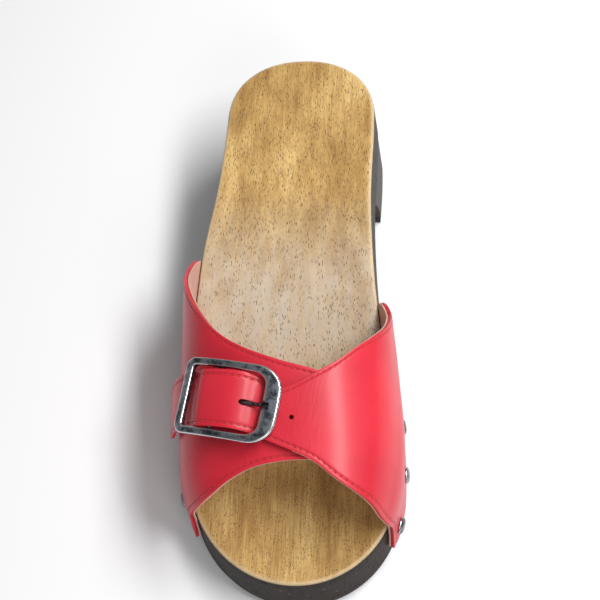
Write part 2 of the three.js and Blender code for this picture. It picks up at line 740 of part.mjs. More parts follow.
const [spareAcross, spareY] = strapPlace(30, 0.8);
const spareHole = cylinderBetween(
  archOffset(spareAcross, spareY, overLateral - seam / 2),
  archOffset(spareAcross, spareY, overLateral + 6),
  spareHoleRadius,
  12,
);
clog.add(named("lateral_upper", drilled(lateralUpper(), lateralPlaces), redLeather));
clog.add(named("lateral_lining", drilled(lateralLining(), lateralPlaces), lining));
const medialLeather = medialUpper().subtract(prongSlot()).subtract(spareHole);
clog.add(named("medial_upper", drilled(medialLeather, medialPlaces), redLeather));
clog.add(named("medial_lining", drilled(medialLining(), medialPlaces).subtract(spareHole), lining));

clog.add(named("buckle_chape", chapeSolid(), redLeather));
clog.add(named("buckle_rod", rodSolid(), oldSilver));
clog.add(named("buckle_frame", buckleFrame(), oldSilver));
clog.add(named("buckle_prong", prongSolid(), oldSilver));

lateralPlaces.forEach((place, i) => {
  clog.add(named(`lateral_tack_${i + 1}`, tackSolid(place), oldSilver));
});
medialPlaces.forEach((place, i) => {
  clog.add(named(`medial_tack_${i + 1}`, tackSolid(place), oldSilver));
});

// The origin is the middle of the footprint's bounding box, on the ground.
const middle = new THREE.Box3().setFromObject(clog).getCenter(new THREE.Vector3());
clog.position.set(-middle.x, -middle.y, 0);

export default clog;
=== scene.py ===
import math

import bpy
import numpy as np
from mathutils import Matrix, Vector


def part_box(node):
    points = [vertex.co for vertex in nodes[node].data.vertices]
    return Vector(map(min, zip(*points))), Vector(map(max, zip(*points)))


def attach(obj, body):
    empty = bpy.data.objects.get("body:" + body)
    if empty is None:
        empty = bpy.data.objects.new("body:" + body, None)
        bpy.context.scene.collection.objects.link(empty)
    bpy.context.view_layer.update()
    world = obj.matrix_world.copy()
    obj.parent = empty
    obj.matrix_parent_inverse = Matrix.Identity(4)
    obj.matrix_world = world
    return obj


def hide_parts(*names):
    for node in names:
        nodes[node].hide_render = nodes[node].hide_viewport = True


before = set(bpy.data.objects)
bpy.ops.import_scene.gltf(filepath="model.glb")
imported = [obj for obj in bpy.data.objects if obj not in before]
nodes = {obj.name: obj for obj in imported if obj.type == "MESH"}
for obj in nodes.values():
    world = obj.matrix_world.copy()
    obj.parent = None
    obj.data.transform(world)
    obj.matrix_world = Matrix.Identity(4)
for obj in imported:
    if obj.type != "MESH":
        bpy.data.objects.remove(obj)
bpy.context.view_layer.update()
print("frame loaded:", len(nodes), "nodes")

# Everything below is worked out in millimetres and moved into the frame at the end.
nailLow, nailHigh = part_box("heel_nail_1")
moveX = (nailLow.x + nailHigh.x) * 500
moveY = (nailLow.y + nailHigh.y) * 500 - 82


def toFrame(points):
    return (np.asarray(points, float) + (moveX, moveY, 0)) * 0.001


# ---- the shapes that the pieces follow ----
sole = {
    "length": 250, "ballWidth": 92, "heelHeight": 58, "toeHeight": 26, "thickness": 23,
    "dish": 1.4, "sideSlope": 1.2, "toeSlope": 3.2, "toeRound": 45, "heelRound": 32,
    "heelSquareness": 2.2, "treadThickness": 3, "seam": 0.3,
}
halfLength = sole["length"] / 2


def through(stations, place):
    # smooth value through rows of [place, value]
    rows = np.array(stations, float)
    xs, ys = rows[:, 0], rows[:, 1]
    last = len(xs) - 1
    before = np.maximum(np.arange(last + 1) - 1, 0)
    after = np.minimum(np.arange(last + 1) + 1, last)
    slopes = (ys[after] - ys[before]) / (xs[after] - xs[before])
    at = np.clip(np.asarray(place, float), xs[0], xs[-1])
    k = np.clip(np.searchsorted(xs, at, side="right") - 1, 0, last - 1)
    h = xs[k + 1] - xs[k]
    t = (at - xs[k]) / h
    return ((2 * t**3 - 3 * t**2 + 1) * ys[k] + (t**3 - 2 * t**2 + t) * h * slopes[k]
            + (3 * t**2 - 2 * t**3) * ys[k + 1] + (t**3 - t**2) * h * slopes[k + 1])


def smoothStep(x, low, high):
    t = np.clip((np.asarray(x, float) - low) / (high - low), 0, 1)
    return t * t * (3 - 2 * t)


def placed(rows, scale=1):
    return [[share * sole["length"], value * scale] for share, value in rows]


lateralHalf = placed([
    [-0.5, 0.484], [-0.38, 0.489], [-0.24, 0.516], [-0.06, 0.522],
    [0.088, 0.491], [0.22, 0.422], [0.34, 0.391], [0.5, 0.38]], sole["ballWidth"])
medialHalf = placed([
    [-0.5, 0.484], [-0.38, 0.49], [-0.248, 0.494], [-0.14, 0.461],
    [-0.032, 0.416], [0.08, 0.384], [0.2, 0.372], [0.34, 0.386], [0.5, 0.38]], sole["ballWidth"])
centreLine = placed([[-0.5, 2], [-0.4, 1], [-0.32, 0], [0.5, 0]])
footbedRise = placed([
    [-0.5, 0], [-0.4, 0], [-0.3, 0.015], [-0.2, 0.06], [-0.08, 0.22],
    [0.04, 0.45], [0.16, 0.73], [0.28, 0.93], [0.4, 1], [0.5, 1.01]],
    sole["heelHeight"] - sole["toeHeight"])
plateShare = placed([
    [-0.5, 0.87], [-0.42, 0.95], [-0.36, 0.985], [-0.3, 1.005], [-0.2, 1.07],
    [-0.1, 1.08], [0, 1.06], [0.1, 1], [0.2, 0.96], [0.3, 1], [0.5, 0.98]], sole["thickness"])
archHeight = placed([
    [-0.42, 34], [-0.32, 40], [-0.22, 45.5], [-0.12, 47], [0, 46], [0.12, 42]])
lateralBulge = placed([[-0.4, 0], [-0.24, 0], [-0.08, 0], [0, 1.5], [0.1, 4]])
medialBulge = placed([[-0.4, 0], [-0.24, 0], [-0.16, 1], [-0.08, 3], [0.02, 5]])


def rimHeight(y):
    return sole["toeHeight"] + through(footbedRise, y)


def plateBottom(y):
    treadTop = sole["treadThickness"] + sole["seam"]
    plain = rimHeight(y) - through(plateShare, y)
    flat = (y <= -0.18 * sole["length"]) & (y >= -0.37 * sole["length"])
    return np.where(flat, treadTop, np.maximum(plain, treadTop))


def soleEdge(side, y, height):
    y = np.asarray(y, float)
    toeEnd = -halfLength + sole["toeSlope"] * height
    heelEnd = halfLength - sole["sideSlope"] * height
    toe = np.clip((toeEnd + sole["toeRound"] - y) / sole["toeRound"], 0, 1)
    heel = np.clip((y - heelEnd + sole["heelRound"]) / sole["heelRound"], 0, 1)
    square = sole["heelSquareness"]
    roundness = np.sqrt(1 - toe**2) * (1 - heel**square) ** (1 / square)
    half = np.where(side < 0, through(lateralHalf, y), through(medialHalf, y))
    return through(centreLine, y) + side * (half - sole["sideSlope"] * height) * roundness


# the leather also swells just above the inner rim
medialSwell = placed([[-0.4, 0], [-0.32, 0.5], [-0.24, 1], [-0.12, 1.1], [0.02, 0.6]])
leather = {
    "archExponent": 2.5, "marginSpan": 0.2, "marginDrop": 14.5,
    "lining": 0.8, "thickness": 1.4, "strapThickness": 1.5, "strapWidth": 22.5,
    "overlapEnd": 0.46, "overlapStart": 0.74, "tabCorner": 3,
    "stitchInset": 1.95, "stitchPitch": 2.65, "groove": 0.2, "edgeRound": 0.34,
}


def archPoint(across, y):
    # across runs from -1.2 at the outer lower edge over 0 on top of the foot to 1.2
    across, y = np.broadcast_arrays(np.asarray(across, float), np.asarray(y, float))
    side = np.where(across < 0, -1.0, 1.0)
    rim = rimHeight(y)
    outer, inner = soleEdge(-1, y, 1), soleEdge(1, y, 1)
    middle, half = (outer + inner) / 2, (inner - outer) / 2
    down = np.maximum(np.abs(across) - 1, 0) / leather["marginSpan"] * leather["marginDrop"]
    sideX = soleEdge(side, y, 1 - down / (rim - plateBottom(y)))
    angle = np.minimum(np.abs(across), 1) * math.pi / 2
    power = leather["archExponent"]
    cosine = np.maximum(np.cos(angle), 0)
    reach = ((np.sin(angle) / half) ** power + (cosine / through(archHeight, y)) ** power) ** (-1 / power)
    rise = np.clip(across, 0, 1)
    swell = through(medialSwell, y) * rise**4 * (1 - rise) / (0.8**4 * 0.2)
    bulge = np.where(side < 0, through(lateralBulge, y), through(medialBulge, y)) * np.sin(2 * angle) + swell
    overX = middle + side * (reach * np.sin(angle) + bulge)
    beyond = np.abs(across) > 1
    return np.stack([np.where(beyond, sideX, overX), y,
                     np.where(beyond, rim - down, rim + reach * cosine)], -1)


def archNormal(across, y):
    along = archPoint(across, y + 0.4) - archPoint(across, y - 0.4)
    over = archPoint(across + 0.004, y) - archPoint(across - 0.004, y)
    normal = np.cross(over, along)
    return normal / np.linalg.norm(normal, axis=-1, keepdims=True)


def archOffset(across, y, height):
    return archPoint(across, y) + archNormal(across, y) * np.asarray(height, float)[..., None]


# The strap's own coordinates: along from the buckle's rod towards the inner side, over across
# the strap towards the heel.
rodAcross, rodY = -0.34, -0.2325 * sole["length"]
strapLean, strapCosine = 0.27, 0.945
rodSpan = np.linalg.norm(archPoint(rodAcross + 0.01, rodY) - archPoint(rodAcross - 0.01, rodY)) / 0.02
strapBend = [[-36, 4.5], [-20, 3.7], [-11, 2.2], [0, 0], [13.5, -3.2], [26, -8.2], [32, -10]]


def strapPlace(along, over):
    along, over = np.broadcast_arrays(np.asarray(along, float), np.asarray(over, float))
    return (rodAcross + (along + over * strapLean) / rodSpan,
            rodY + through(strapBend, along) + over * strapCosine)


def strapPoint(along, over, height):
    across, y = strapPlace(along, over)
    return archOffset(across, y, np.broadcast_to(height, across.shape))


seam = sole["seam"]
leatherBase = 2 * seam + leather["lining"]
panelTop = leatherBase + leather["thickness"]
overLateral = panelTop + seam
chape = {"width": 16, "reach": 25, "thickness": 1.4, "loopWall": 0.7}
tailSeat = overLateral + chape["thickness"] + seam
rod = {"radius": 1.3, "fromOuterEnd": 13, "ringWall": 1.2}
rodHeight = overLateral + rod["radius"] + rod["ringWall"] + 2 * seam
strapSeat = overLateral + leather["lining"] + seam
strapCrest = rodHeight + rod["radius"] + rod["ringWall"] + 2 * seam
strapHeights = [
    [-36, tailSeat], [-13, tailSeat], [-9.2, tailSeat + 0.1], [-7.4, tailSeat + 1.3],
    [-4, strapCrest - 0.4], [0, strapCrest + 0.2], [4.5, strapCrest + 0.1], [8, strapSeat + 4.5],
    [11, strapSeat + 3.1], [14, strapSeat + 1.1], [16.5, strapSeat + 0.1], [19, strapSeat],
    [36, strapSeat]]


# ---- small helpers for modelling ----
def onlySelect(piece):
    bpy.ops.object.select_all(action="DESELECT")
    piece.select_set(True)
    bpy.context.view_layer.objects.active = piece


def gridPiece(name, points):
    # a grid primitive whose vertices are moved onto rows of points
    rows, columns = points.shape[0] - 1, points.shape[1] - 1
    bpy.ops.object.select_all(action="DESELECT")
    bpy.ops.mesh.primitive_grid_add(x_subdivisions=columns, y_subdivisions=rows, size=1)
    piece = bpy.context.object
    piece.name = name
    piece.data.name = name
    piece.data.vertices.foreach_set("co", toFrame(points).astype(np.float32).ravel())
    piece.data.update()
    return piece


def editMesh(piece, *steps):
    onlySelect(piece)
    bpy.ops.object.mode_set(mode="EDIT")
    bpy.ops.mesh.select_all(action="SELECT")
    for step in steps:
        step()
    bpy.ops.object.mode_set(mode="OBJECT")


def closeSkin(piece):
    editMesh(piece,
             lambda: bpy.ops.mesh.remove_doubles(threshold=2e-6),
             lambda: bpy.ops.mesh.normals_make_consistent(inside=False))


def facing(piece, direction):
    # turns an open sheet over if its faces look the wrong way
    total = Vector((0, 0, 0))
    for face in piece.data.polygons:
        total += face.normal * face.area
    if total.dot(Vector(direction)) < 0:
        editMesh(piece, lambda: bpy.ops.mesh.flip_normals())


def addModifier(piece, kind, **values):
    onlySelect(piece)
    modifier = piece.modifiers.new(kind.lower(), kind)
    for key, value in values.items():
        setattr(modifier, key, value)
    bpy.ops.object.modifier_apply(modifier=modifier.name)


def cutWith(piece, cutter, operation="DIFFERENCE"):
    addModifier(piece, "BOOLEAN", object=cutter, operation=operation, solver="EXACT")
    bpy.data.objects.remove(cutter)


def smoothShade(piece, degrees=38):
    onlySelect(piece)
    bpy.ops.object.shade_smooth_by_angle(angle=math.radians(degrees))


def joinPieces(pieces, name):
    bpy.ops.object.select_all(action="DESELECT")
    for piece in pieces:
        piece.select_set(True)
    bpy.context.view_layer.objects.active = pieces[0]
    bpy.ops.object.join()
    joined = bpy.context.object
    joined.name = name
    return joined


def pointValue(piece, name, values):
    attribute = piece.data.attributes.new(name, "FLOAT", "POINT")
    attribute.data.foreach_set("value", np.asarray(values, np.float32).ravel())


def flatMap(piece, across, along):
    # writes a UV map in metres from one pair of values for each vertex
    uv = np.stack([np.ravel(across), np.ravel(along)], -1) * 0.001
    corners = np.zeros(len(piece.data.loops), np.int32)
    piece.data.loops.foreach_get("vertex_index", corners)
    piece.data.uv_layers[0].data.foreach_set("uv", uv[corners].astype(np.float32).ravel())


def finishPiece(piece, body, slot, materials, *replaced):
    piece.data.materials.clear()
    for material in materials:
        piece.data.materials.append(material)
    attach(piece, body)
    if replaced:
        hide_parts(*replaced)
    print("piece", piece.name, len(piece.data.polygons), "faces")
    return piece


# ---- shader helpers ----
class Field:
    # a shader value that can be used in sums
    def __init__(self, tree, socket):
        self.tree = tree
        self.socket = socket

    def combined(self, operation, left, right):
        node = makeNode(self.tree, "ShaderNodeMath", {"operation": operation}, {0: left, 1: right})
        return Field(self.tree, node.outputs[0])

    def __add__(self, other):
        return self.combined("ADD", self, other)

    def __radd__(self, other):
        return self.combined("ADD", other, self)

    def __sub__(self, other):
        return self.combined("SUBTRACT", self, other)

    def __rsub__(self, other):
        return self.combined("SUBTRACT", other, self)

    def __mul__(self, other):
        return self.combined("MULTIPLY", self, other)

    def __rmul__(self, other):
        return self.combined("MULTIPLY", other, self)

    def __truediv__(self, other):
        return self.combined("DIVIDE", self, other)

    def __pow__(self, other):
        return self.combined("POWER", self, other)


def makeNode(tree, kind, settings, sockets):
    node = tree.nodes.new(kind)
    for name, value in settings.items():
        if name == "stops":
            ramp = node.color_ramp
            while len(ramp.elements) < len(value):
                ramp.elements.new(0.5)
            for element, (place, colour) in zip(ramp.elements, value):
                element.position = place
                element.color = (*colour, 1)
        else:
            setattr(node, name, value)
    for key, value in sockets.items():
        if isinstance(value, Field):
            tree.links.new(value.socket, node.inputs[key])
        else:
            node.inputs[key].default_value = value
    return node


class Finish:
    # one material and the nodes that shape it
    def __init__(self, name, **shader):
        self.material = bpy.data.materials.new(name)
        self.material.use_nodes = True
        self.tree = self.material.node_tree
        self.shader = self.tree.nodes["Principled BSDF"]
        for key, value in shader.items():
            self.shader.inputs[key.replace("_", " ")].default_value = value

    def make(self, kind, output, settings=None, **sockets):
        names = {key.replace("_", " "): value for key, value in sockets.items()}
        node = makeNode(self.tree, kind, settings or {}, names)
        return Field(self.tree, node.outputs[output])

    def place(self, scale, source="Object", turn=(0, 0, 0)):
        coords = self.make("ShaderNodeTexCoord", source)
        return self.make("ShaderNodeMapping", "Vector", Vector=coords, Scale=scale, Rotation=turn)

    def noise(self, vector, scale=1.0, detail=2.0, rough=0.5, distortion=0.0):
        return self.make("ShaderNodeTexNoise", "Fac", Vector=vector, Scale=scale,
                         Detail=detail, Roughness=rough, Distortion=distortion)

    def cells(self, vector, output="Distance", scale=1.0, randomness=1.0, feature="F1"):
        return self.make("ShaderNodeTexVoronoi", output, {"feature": feature},
                         Vector=vector, Scale=scale, Randomness=randomness)

    def ramp(self, value, stops):
        return self.make("ShaderNodeValToRGB", "Color", {"stops": stops}, Fac=value)

    def mask(self, value, low, high):
        node = makeNode(self.tree, "ShaderNodeMapRange", {"interpolation_type": "SMOOTHSTEP"},
                        {"Value": value, "From Min": low, "From Max": high})
        return Field(self.tree, node.outputs["Result"])

    def blend(self, share, first, second, mode="MIX"):
        node = makeNode(self.tree, "ShaderNodeMix", {"data_type": "RGBA", "blend_type": mode},
                        {0: share, 6: first, 7: second})
        return Field(self.tree, node.outputs[2])

    def value(self, name):
        node = makeNode(self.tree, "ShaderNodeAttribute", {"attribute_name": name}, {})
        return Field(self.tree, node.outputs["Fac"])

    def feed(self, **sockets):
        for key, field in sockets.items():
            self.tree.links.new(field.socket, self.shader.inputs[key.replace("_", " ")])

    def bump(self, height, distance, strength=1.0):
        normal = self.make("ShaderNodeBump", "Normal", Height=height, Distance=distance,
                           Strength=strength)
        self.feed(Normal=normal)


def shade(red, green, blue):
    return (red, green, blue, 1)


# ---- finishes ----
def footbedFinish():
    wood = Finish("footbedVarnish", IOR=1.42, Specular_IOR_Level=0.3, Coat_Roughness=0.3)
    here = wood.place((1, 1, 1))
    mottle = wood.noise(wood.place((55, 22, 55)), detail=4, rough=0.6, distortion=0.4)
    fibre = wood.noise(wood.place((2600, 75, 2600)), detail=3, rough=0.6)
    streak = wood.noise(wood.place((420, 9, 420)), detail=3, rough=0.55)
    longPores = wood.cells(wood.place((1500, 400, 25)))
    shortPores = wood.cells(wood.place((1400, 760, 25)))
    lengthways = wood.make("ShaderNodeSeparateXYZ", "Y", Vector=here)
    atToe = wood.mask(lengthways, -0.03, -0.075)
    crowd = wood.mask(wood.noise(wood.place((300, 90, 40)), detail=3), 0.3, 0.54)
    pores = (wood.mask(longPores, 0.38, 0.14) * (1 - atToe)
             + wood.mask(shortPores, 0.38, 0.14) * atToe) * crowd * (0.45 + fibre)
    hazeNoise = wood.noise(wood.place((240, 50, 120)), detail=4, rough=0.6)
    plain = wood.ramp(mottle * 0.72 + streak * 0.28, [
        (0.36, (0.35, 0.2, 0.06)), (0.5, (0.54, 0.34, 0.118)), (0.64, (0.72, 0.5, 0.2))])
    fibred = wood.blend(wood.mask(fibre, 0.34, 0.74) * 0.6, plain, shade(0.23, 0.11, 0.032))
    # painted reflection: a grey-white cloud over the instep stands in for the sheen of light off the varnish
    instep = wood.mask(lengthways, 0.06, 0.0) * wood.mask(lengthways, -0.06, -0.01)
    instepSheenMask = instep * (0.42 + wood.mask(mottle * 0.5 + hazeNoise * 0.5, 0.35, 0.62) * 0.42)
    paintedLightLayer = wood.blend(instepSheenMask, fibred, shade(0.55, 0.49, 0.41))
    poured = wood.blend(pores * 0.78, paintedLightLayer, shade(0.13, 0.065, 0.02))
    side = wood.value("woodSide")
    wearAndCreaseShade = wood.value("wornRim") * wood.mask(mottle + fibre * 0.5, 0.35, 0.8)
    sideGrain = wood.noise(wood.place((40, 40, 900)), detail=4, rough=0.6)
    speck = wood.mask(wood.cells(wood.place((150, 150, 260))), 0.13, 0.06)
    stained = wood.ramp(sideGrain, [(0.3, (0.008, 0.0055, 0.004)), (0.7, (0.024, 0.014, 0.009))])
    flecked = wood.blend(speck * 0.25, stained, shade(0.4, 0.34, 0.27))
    twoTone = wood.blend(side, poured, flecked)
    wood.feed(Base_Color=wood.blend(wearAndCreaseShade * 0.8, twoTone, shade(0.66, 0.5, 0.3)),
              Roughness=0.38 + mottle * 0.12 + wearAndCreaseShade * 0.2 + pores * 0.2 + side * 0.12,
              Coat_Weight=0.1 - side * 0.1)
    wood.bump(fibre * 0.25 - pores * (1 - side) + streak * 0.2, 0.00018, 0.75)
    return wood.material


def heelFinish():
    wood = Finish("heelStain", IOR=1.4, Specular_IOR_Level=0.3)
    grain = wood.noise(wood.place((30, 30, 700)), detail=5, rough=0.62, distortion=0.6)
    fine = wood.noise(wood.place((900, 900, 4000)), detail=2)
    speck = wood.mask(wood.cells(wood.place((130, 130, 220))), 0.12, 0.05)
    stained = wood.ramp(grain, [(0.3, (0.013, 0.008, 0.005)), (0.55, (0.028, 0.018, 0.011)),
                                (0.75, (0.055, 0.034, 0.02))])
    wood.feed(Base_Color=wood.blend(speck * 0.2, stained, shade(0.35, 0.28, 0.2)),
              Roughness=0.4 + fine * 0.15)
    wood.bump(grain * 0.7 + fine * 0.3, 0.00025, 0.6)
    return wood.material


def rubberFinish():
    rubber = Finish("treadRubber", IOR=1.5)
    dust = rubber.noise(rubber.place((140, 140, 140)), detail=4, rough=0.65)
    fine = rubber.noise(rubber.place((2600, 2600, 2600)), detail=2)
    rubber.feed(Base_Color=rubber.ramp(dust, [(0.35, (0.014, 0.013, 0.012)), (0.7, (0.045, 0.041, 0.037))]),
                Roughness=0.72 + dust * 0.2)
    rubber.bump(fine, 0.0001, 0.6)
    return rubber.material


def leatherFinish():
    hide = Finish("redLeather", IOR=1.4, Specular_IOR_Level=0.4, Coat_Weight=0.34,
                  Coat_IOR=1.4, Coat_Roughness=0.24)
    pebble = hide.cells(hide.place((2600, 2600, 2600)), feature="SMOOTH_F1")
    fine = hide.noise(hide.place((3000, 3000, 3000)), detail=3, rough=0.6)
    broad = hide.noise(hide.place((34, 34, 34)), detail=3, rough=0.5)
    run = hide.value("seamRun")
    inset = hide.value("seamInset")
    crease = hide.value("crease")
    wrinkle = hide.noise(hide.place((800, 110, 1), "UV"), detail=4, rough=0.6, distortion=0.7)
    step = hide.make("ShaderNodeMath", 0, {"operation": "FRACT"}, Value=run / leather["stitchPitch"])
    offCentre = (step - 0.5) * leather["stitchPitch"]
    offLine = inset - leather["stitchInset"]
    holes = hide.mask((offCentre * offCentre + offLine * offLine) ** 0.5, 0.52, 0.3)
    pulled = hide.mask((offLine * offLine) ** 0.5, 0.9, 0.2)
    red = hide.ramp(broad, [(0.3, (0.52, 0.012, 0.028)), (0.7, (0.66, 0.022, 0.042))])
    # painted shade: the troughs of the wrinkles across the creases are painted darker red
    wearAndCreaseShade = hide.blend(crease * hide.mask(wrinkle, 0.45, 0.3) * 0.35, red, shade(0.4, 0.008, 0.016))
    # painted shade: the groove where the leather is pulled down along the stitch line is painted darker red
    paintedLightLayer = hide.blend(pulled * 0.4, wearAndCreaseShade, shade(0.4, 0.008, 0.016))
    # painted shade: the stitch holes are painted near-black for the shade inside them
    hide.feed(Base_Color=hide.blend(holes * 0.9, paintedLightLayer, shade(0.07, 0.003, 0.006)),
              Roughness=0.38 + fine * 0.14 + broad * 0.06)
    hide.bump(pebble * 0.3 + fine * 0.3 - holes * 2.6 - pulled * 0.6 + crease * wrinkle * 2.8,
              0.0001, 0.7)
    return hide.material


def cutEdgeFinish():
    edge = Finish("leatherEdge", IOR=1.45)
    fibres = edge.noise(edge.place((900, 900, 2600)), detail=4, rough=0.65)
    edge.feed(Base_Color=edge.ramp(fibres, [(0.3, (0.62, 0.06, 0.05)), (0.7, (0.86, 0.14, 0.105))]),
              Roughness=0.5 + fibres * 0.2)
    edge.bump(fibres, 0.0002, 0.5)
    return edge.material


def liningFinish():
    suede = Finish("liningLeather", IOR=1.45, Sheen_Weight=0.2)
    nap = suede.noise(suede.place((1400, 1400, 1400)), detail=4, rough=0.7)
    broad = suede.noise(suede.place((60, 60, 60)), detail=3)
    suede.feed(Base_Color=suede.ramp(nap * 0.4 + broad * 0.6, [
        (0.3, (0.5, 0.24, 0.18)), (0.7, (0.72, 0.4, 0.32))]), Roughness=0.78 + nap * 0.15)
    suede.bump(nap, 0.00015, 0.7)
    return suede.material


def threadFinish():
    thread = Finish("redThread", IOR=1.45, Sheen_Weight=0.15)
    twist = thread.noise(thread.place((3200, 3200, 3200)), detail=2)
    thread.feed(Base_Color=thread.ramp(twist, [(0.35, (0.36, 0.01, 0.016)), (0.7, (0.62, 0.035, 0.045))]),
                Roughness=0.55 + twist * 0.2)
    thread.bump(twist, 0.0001, 0.8)
    return thread.material


def silverFinish(name="agedSilver", dark=(0.045, 0.05, 0.058), light=(0.3, 0.335, 0.37)):
    silver = Finish(name, Metallic=1.0)
    patches = silver.noise(silver.place((210, 210, 210)), detail=5, rough=0.6, distortion=0.4)
    fine = silver.noise(silver.place((1500, 1500, 1500)), detail=3, rough=0.6)
    wear = silver.value("edgeWear")
    # painted reflection: broad lighter and darker patches in the metal's colour stand in for the room
    # reflected in it
    paintedReflection = silver.mask(patches + fine * 0.35, 0.52, 0.78)
    middle = [0.5 * (a + b) * 0.8 for a, b in zip(dark, light)]
    body = silver.ramp(paintedReflection, [(0.0, dark), (0.5, middle), (1.0, light)])
    silver.feed(Base_Color=silver.blend(wear * 0.85, body, shade(0.74, 0.76, 0.77)),
                Roughness=0.34 - wear * 0.14 - paintedReflection * 0.06 + fine * 0.08)
    silver.bump(patches * 0.6 + fine * 0.4, 0.0001, 0.35)
    return silver.material


def steelFinish():
    steel = Finish("nailSteel", Metallic=1.0)
    rub = steel.noise(steel.place((300, 300, 2000)), detail=3)
    steel.feed(Base_Color=steel.ramp(rub, [(0.3, (0.25, 0.25, 0.26)), (0.7, (0.4, 0.4, 0.42))]),
               Roughness=0.35 + rub * 0.2)
    return steel.material


footbedVarnish = footbedFinish()
heelStain = heelFinish()
treadRubber = rubberFinish()
redLeather = leatherFinish()
leatherEdge = cutEdgeFinish()
liningLeather = liningFinish()
redThread = threadFinish()
agedSilver = silverFinish()
darkSilver = silverFinish("darkSilver", (0.02, 0.021, 0.023), (0.2, 0.21, 0.22))
nailSteel = steelFinish()
print("finishes made:", len(bpy.data.materials))


# ---- wooden sole ----
def outline(steps, height, inset=0):
    # once round the sole: the inner side from toe to heel, back along the outer side
    share = np.arange(steps + 1) / steps
    side = np.where(share < 0.5, 1.0, -1.0)
    run = np.where(share < 0.5, share * 2, 2 - share * 2)
    toeEnd = -halfLength + sole["toeSlope"] * height
    heelEnd = halfLength - sole["sideSlope"] * height
    y = toeEnd + (heelEnd - toeEnd) * (1 - np.cos(math.pi * run)) / 2
    points = np.stack([soleEdge(side, y, height), y], -1)
    points[-1] = points[0]
    if inset:
        ahead, behind = np.roll(points[:-1], -1, 0), np.roll(points[:-1], 1, 0)
        tangent = ahead - behind
        tangent /= np.linalg.norm(tangent, axis=1, keepdims=True)
        inward = np.stack([-tangent[:, 1], tangent[:, 0]], -1)
        points[:-1] += inward * inset
        points[-1] = points[0]
    return points


def soleShape():
    steps = 200
    rings, sides, rims = [], [], []

    def ring(flat, z, side, rim):
        rings.append(np.column_stack([flat, z]))
        sides.append(np.full(steps + 1, float(side)))
        rims.append(np.full(steps + 1, float(rim)))

    softened = outline(steps, 0, 1.2)
    for share in (0, 0.25, 0.5, 0.75, 0.9, 1):
        flat = softened * share
        ring(flat, plateBottom(flat[:, 1]), 1, 0)
    for height in (0.035, 0.1, 0.3, 0.5, 0.7, 0.85):
        flat = outline(steps, height)
        low = plateBottom(flat[:, 1])
        ring(flat, low + (rimHeight(flat[:, 1]) - low) * height, 1, 0)
    # the rim is rounded over and worn pale
    for inset, drop, side, rim in ((0.0, 1.7, 1, 0), (0.02, 1.25, 1, 0.25), (0.12, 0.85, 0.8, 1),
                                   (0.4, 0.4, 0.3, 1), (0.85, 0.1, 0, 0.9), (1.4, 0.0, 0, 0.25),
                                   (2.2, 0.02, 0, 0)):
        flat = outline(steps, 1, inset)
        ring(flat, rimHeight(flat[:, 1]) - drop, side, rim)
    inside = outline(steps, 1, 3)
    for share in (1, 0.95, 0.88, 0.78, 0.66, 0.53, 0.4, 0.27, 0.14, 0.05, 0):
        flat = inside * share
        dish = sole["dish"] * (1 - share**4)
        ring(flat, rimHeight(flat[:, 1]) - dish - 0.03, 0, 0)
    piece = gridPiece("wooden_sole", np.array(rings))
    pointValue(piece, "woodSide", np.array(sides))
    pointValue(piece, "wornRim", np.array(rims))
    closeSkin(piece)
    smoothShade(piece, 50)
    return finishPiece(piece, "clog", "footbed_wood", [footbedVarnish], "sole_plate")


soleShape()


# ---- heel ----
heel = {"treadThickness": 5, "flare": 1.6, "breastBottom": 67, "breastTop": 58, "hollow": 3}


def heelOutline(steps, breastSteps, height, inset=0.0):
    breast = heel["breastBottom"] + (heel["breastTop"] - heel["breastBottom"]) * height**2
    flare = heel["flare"] * (1 - height) - seam
    run = np.arange(steps + 1) / steps
    y = breast + (halfLength - seam - breast) * np.sin(math.pi / 2 * run)
    spread = flare * np.cos(math.pi / 2 * run**4)
    inner = np.column_stack([soleEdge(1, y, 0) + spread, y])
    outer = np.column_stack([soleEdge(-1, y, 0) - spread, y])[::-1][1:]
    across = np.arange(1, breastSteps + 1) / breastSteps
    front = np.column_stack([outer[-1, 0] + (inner[0, 0] - outer[-1, 0]) * across,
                             breast + heel["hollow"] * np.sin(math.pi * across)])
    points = np.vstack([inner, outer, front])
    points[-1] = points[0]
    centre = np.array([0, (heel["breastBottom"] + halfLength) / 2])
    half = np.abs(points - centre).max(0)
    return centre + (points - centre) * (1 - inset / half)


def heelShape():
    rings = []

    def ring(height, inset, share, z):
        flat = heelOutline(44, 14, height, inset)
        centre = np.array([0, (heel["breastBottom"] + halfLength) / 2])
        flat = centre + (flat - centre) * share
        rings.append(np.column_stack([flat, z(flat[:, 1])]))

    base = heel["treadThickness"] + seam
    for share in (0, 0.5, 1):
        ring(0, 0.5, share, lambda y: y * 0 + base)
    ring(0, 0.12, 1, lambda y: y * 0 + base + 0.15)
    ring(0, 0, 1, lambda y: y * 0 + base + 0.55)
    for height in (0.15, 0.3, 0.45, 0.6, 0.75, 0.88):
        ring(height, 0, 1, lambda y: base + (plateBottom(y) - seam - base) * height)
    ring(1, 0, 1, lambda y: plateBottom(y) - seam - 0.5)
    ring(1, 0.15, 1, lambda y: plateBottom(y) - seam - 0.12)
    for share in (1, 0.85, 0.6, 0.3, 0):
        ring(1, 0.55, share, lambda y: plateBottom(y) - seam)
    piece = gridPiece("heel_stack", np.array(rings))
    closeSkin(piece)
    smoothShade(piece, 40)
    return finishPiece(piece, "clog", "heel_wood", [heelStain], "heel_block")


heelShape()


# ---- treads ----
def grooveCutter(places, width, depth, length, lean):
    bars = []
    for x, y, side in places:
        bpy.ops.object.select_all(action="DESELECT")
        bpy.ops.mesh.primitive_cube_add(size=1)
        bar = bpy.context.object
        turn = Matrix.Rotation(side * lean, 4, "Z")
        scale = Matrix.Diagonal((length, width, 2 * depth, 1))
        where = toFrame([x, y, 0])
        bar.data.transform(Matrix.Translation(Vector(where)) @ turn @ Matrix.Scale(0.001, 4) @ scale)
        bars.append(bar)
    return joinPieces(bars, "grooves")


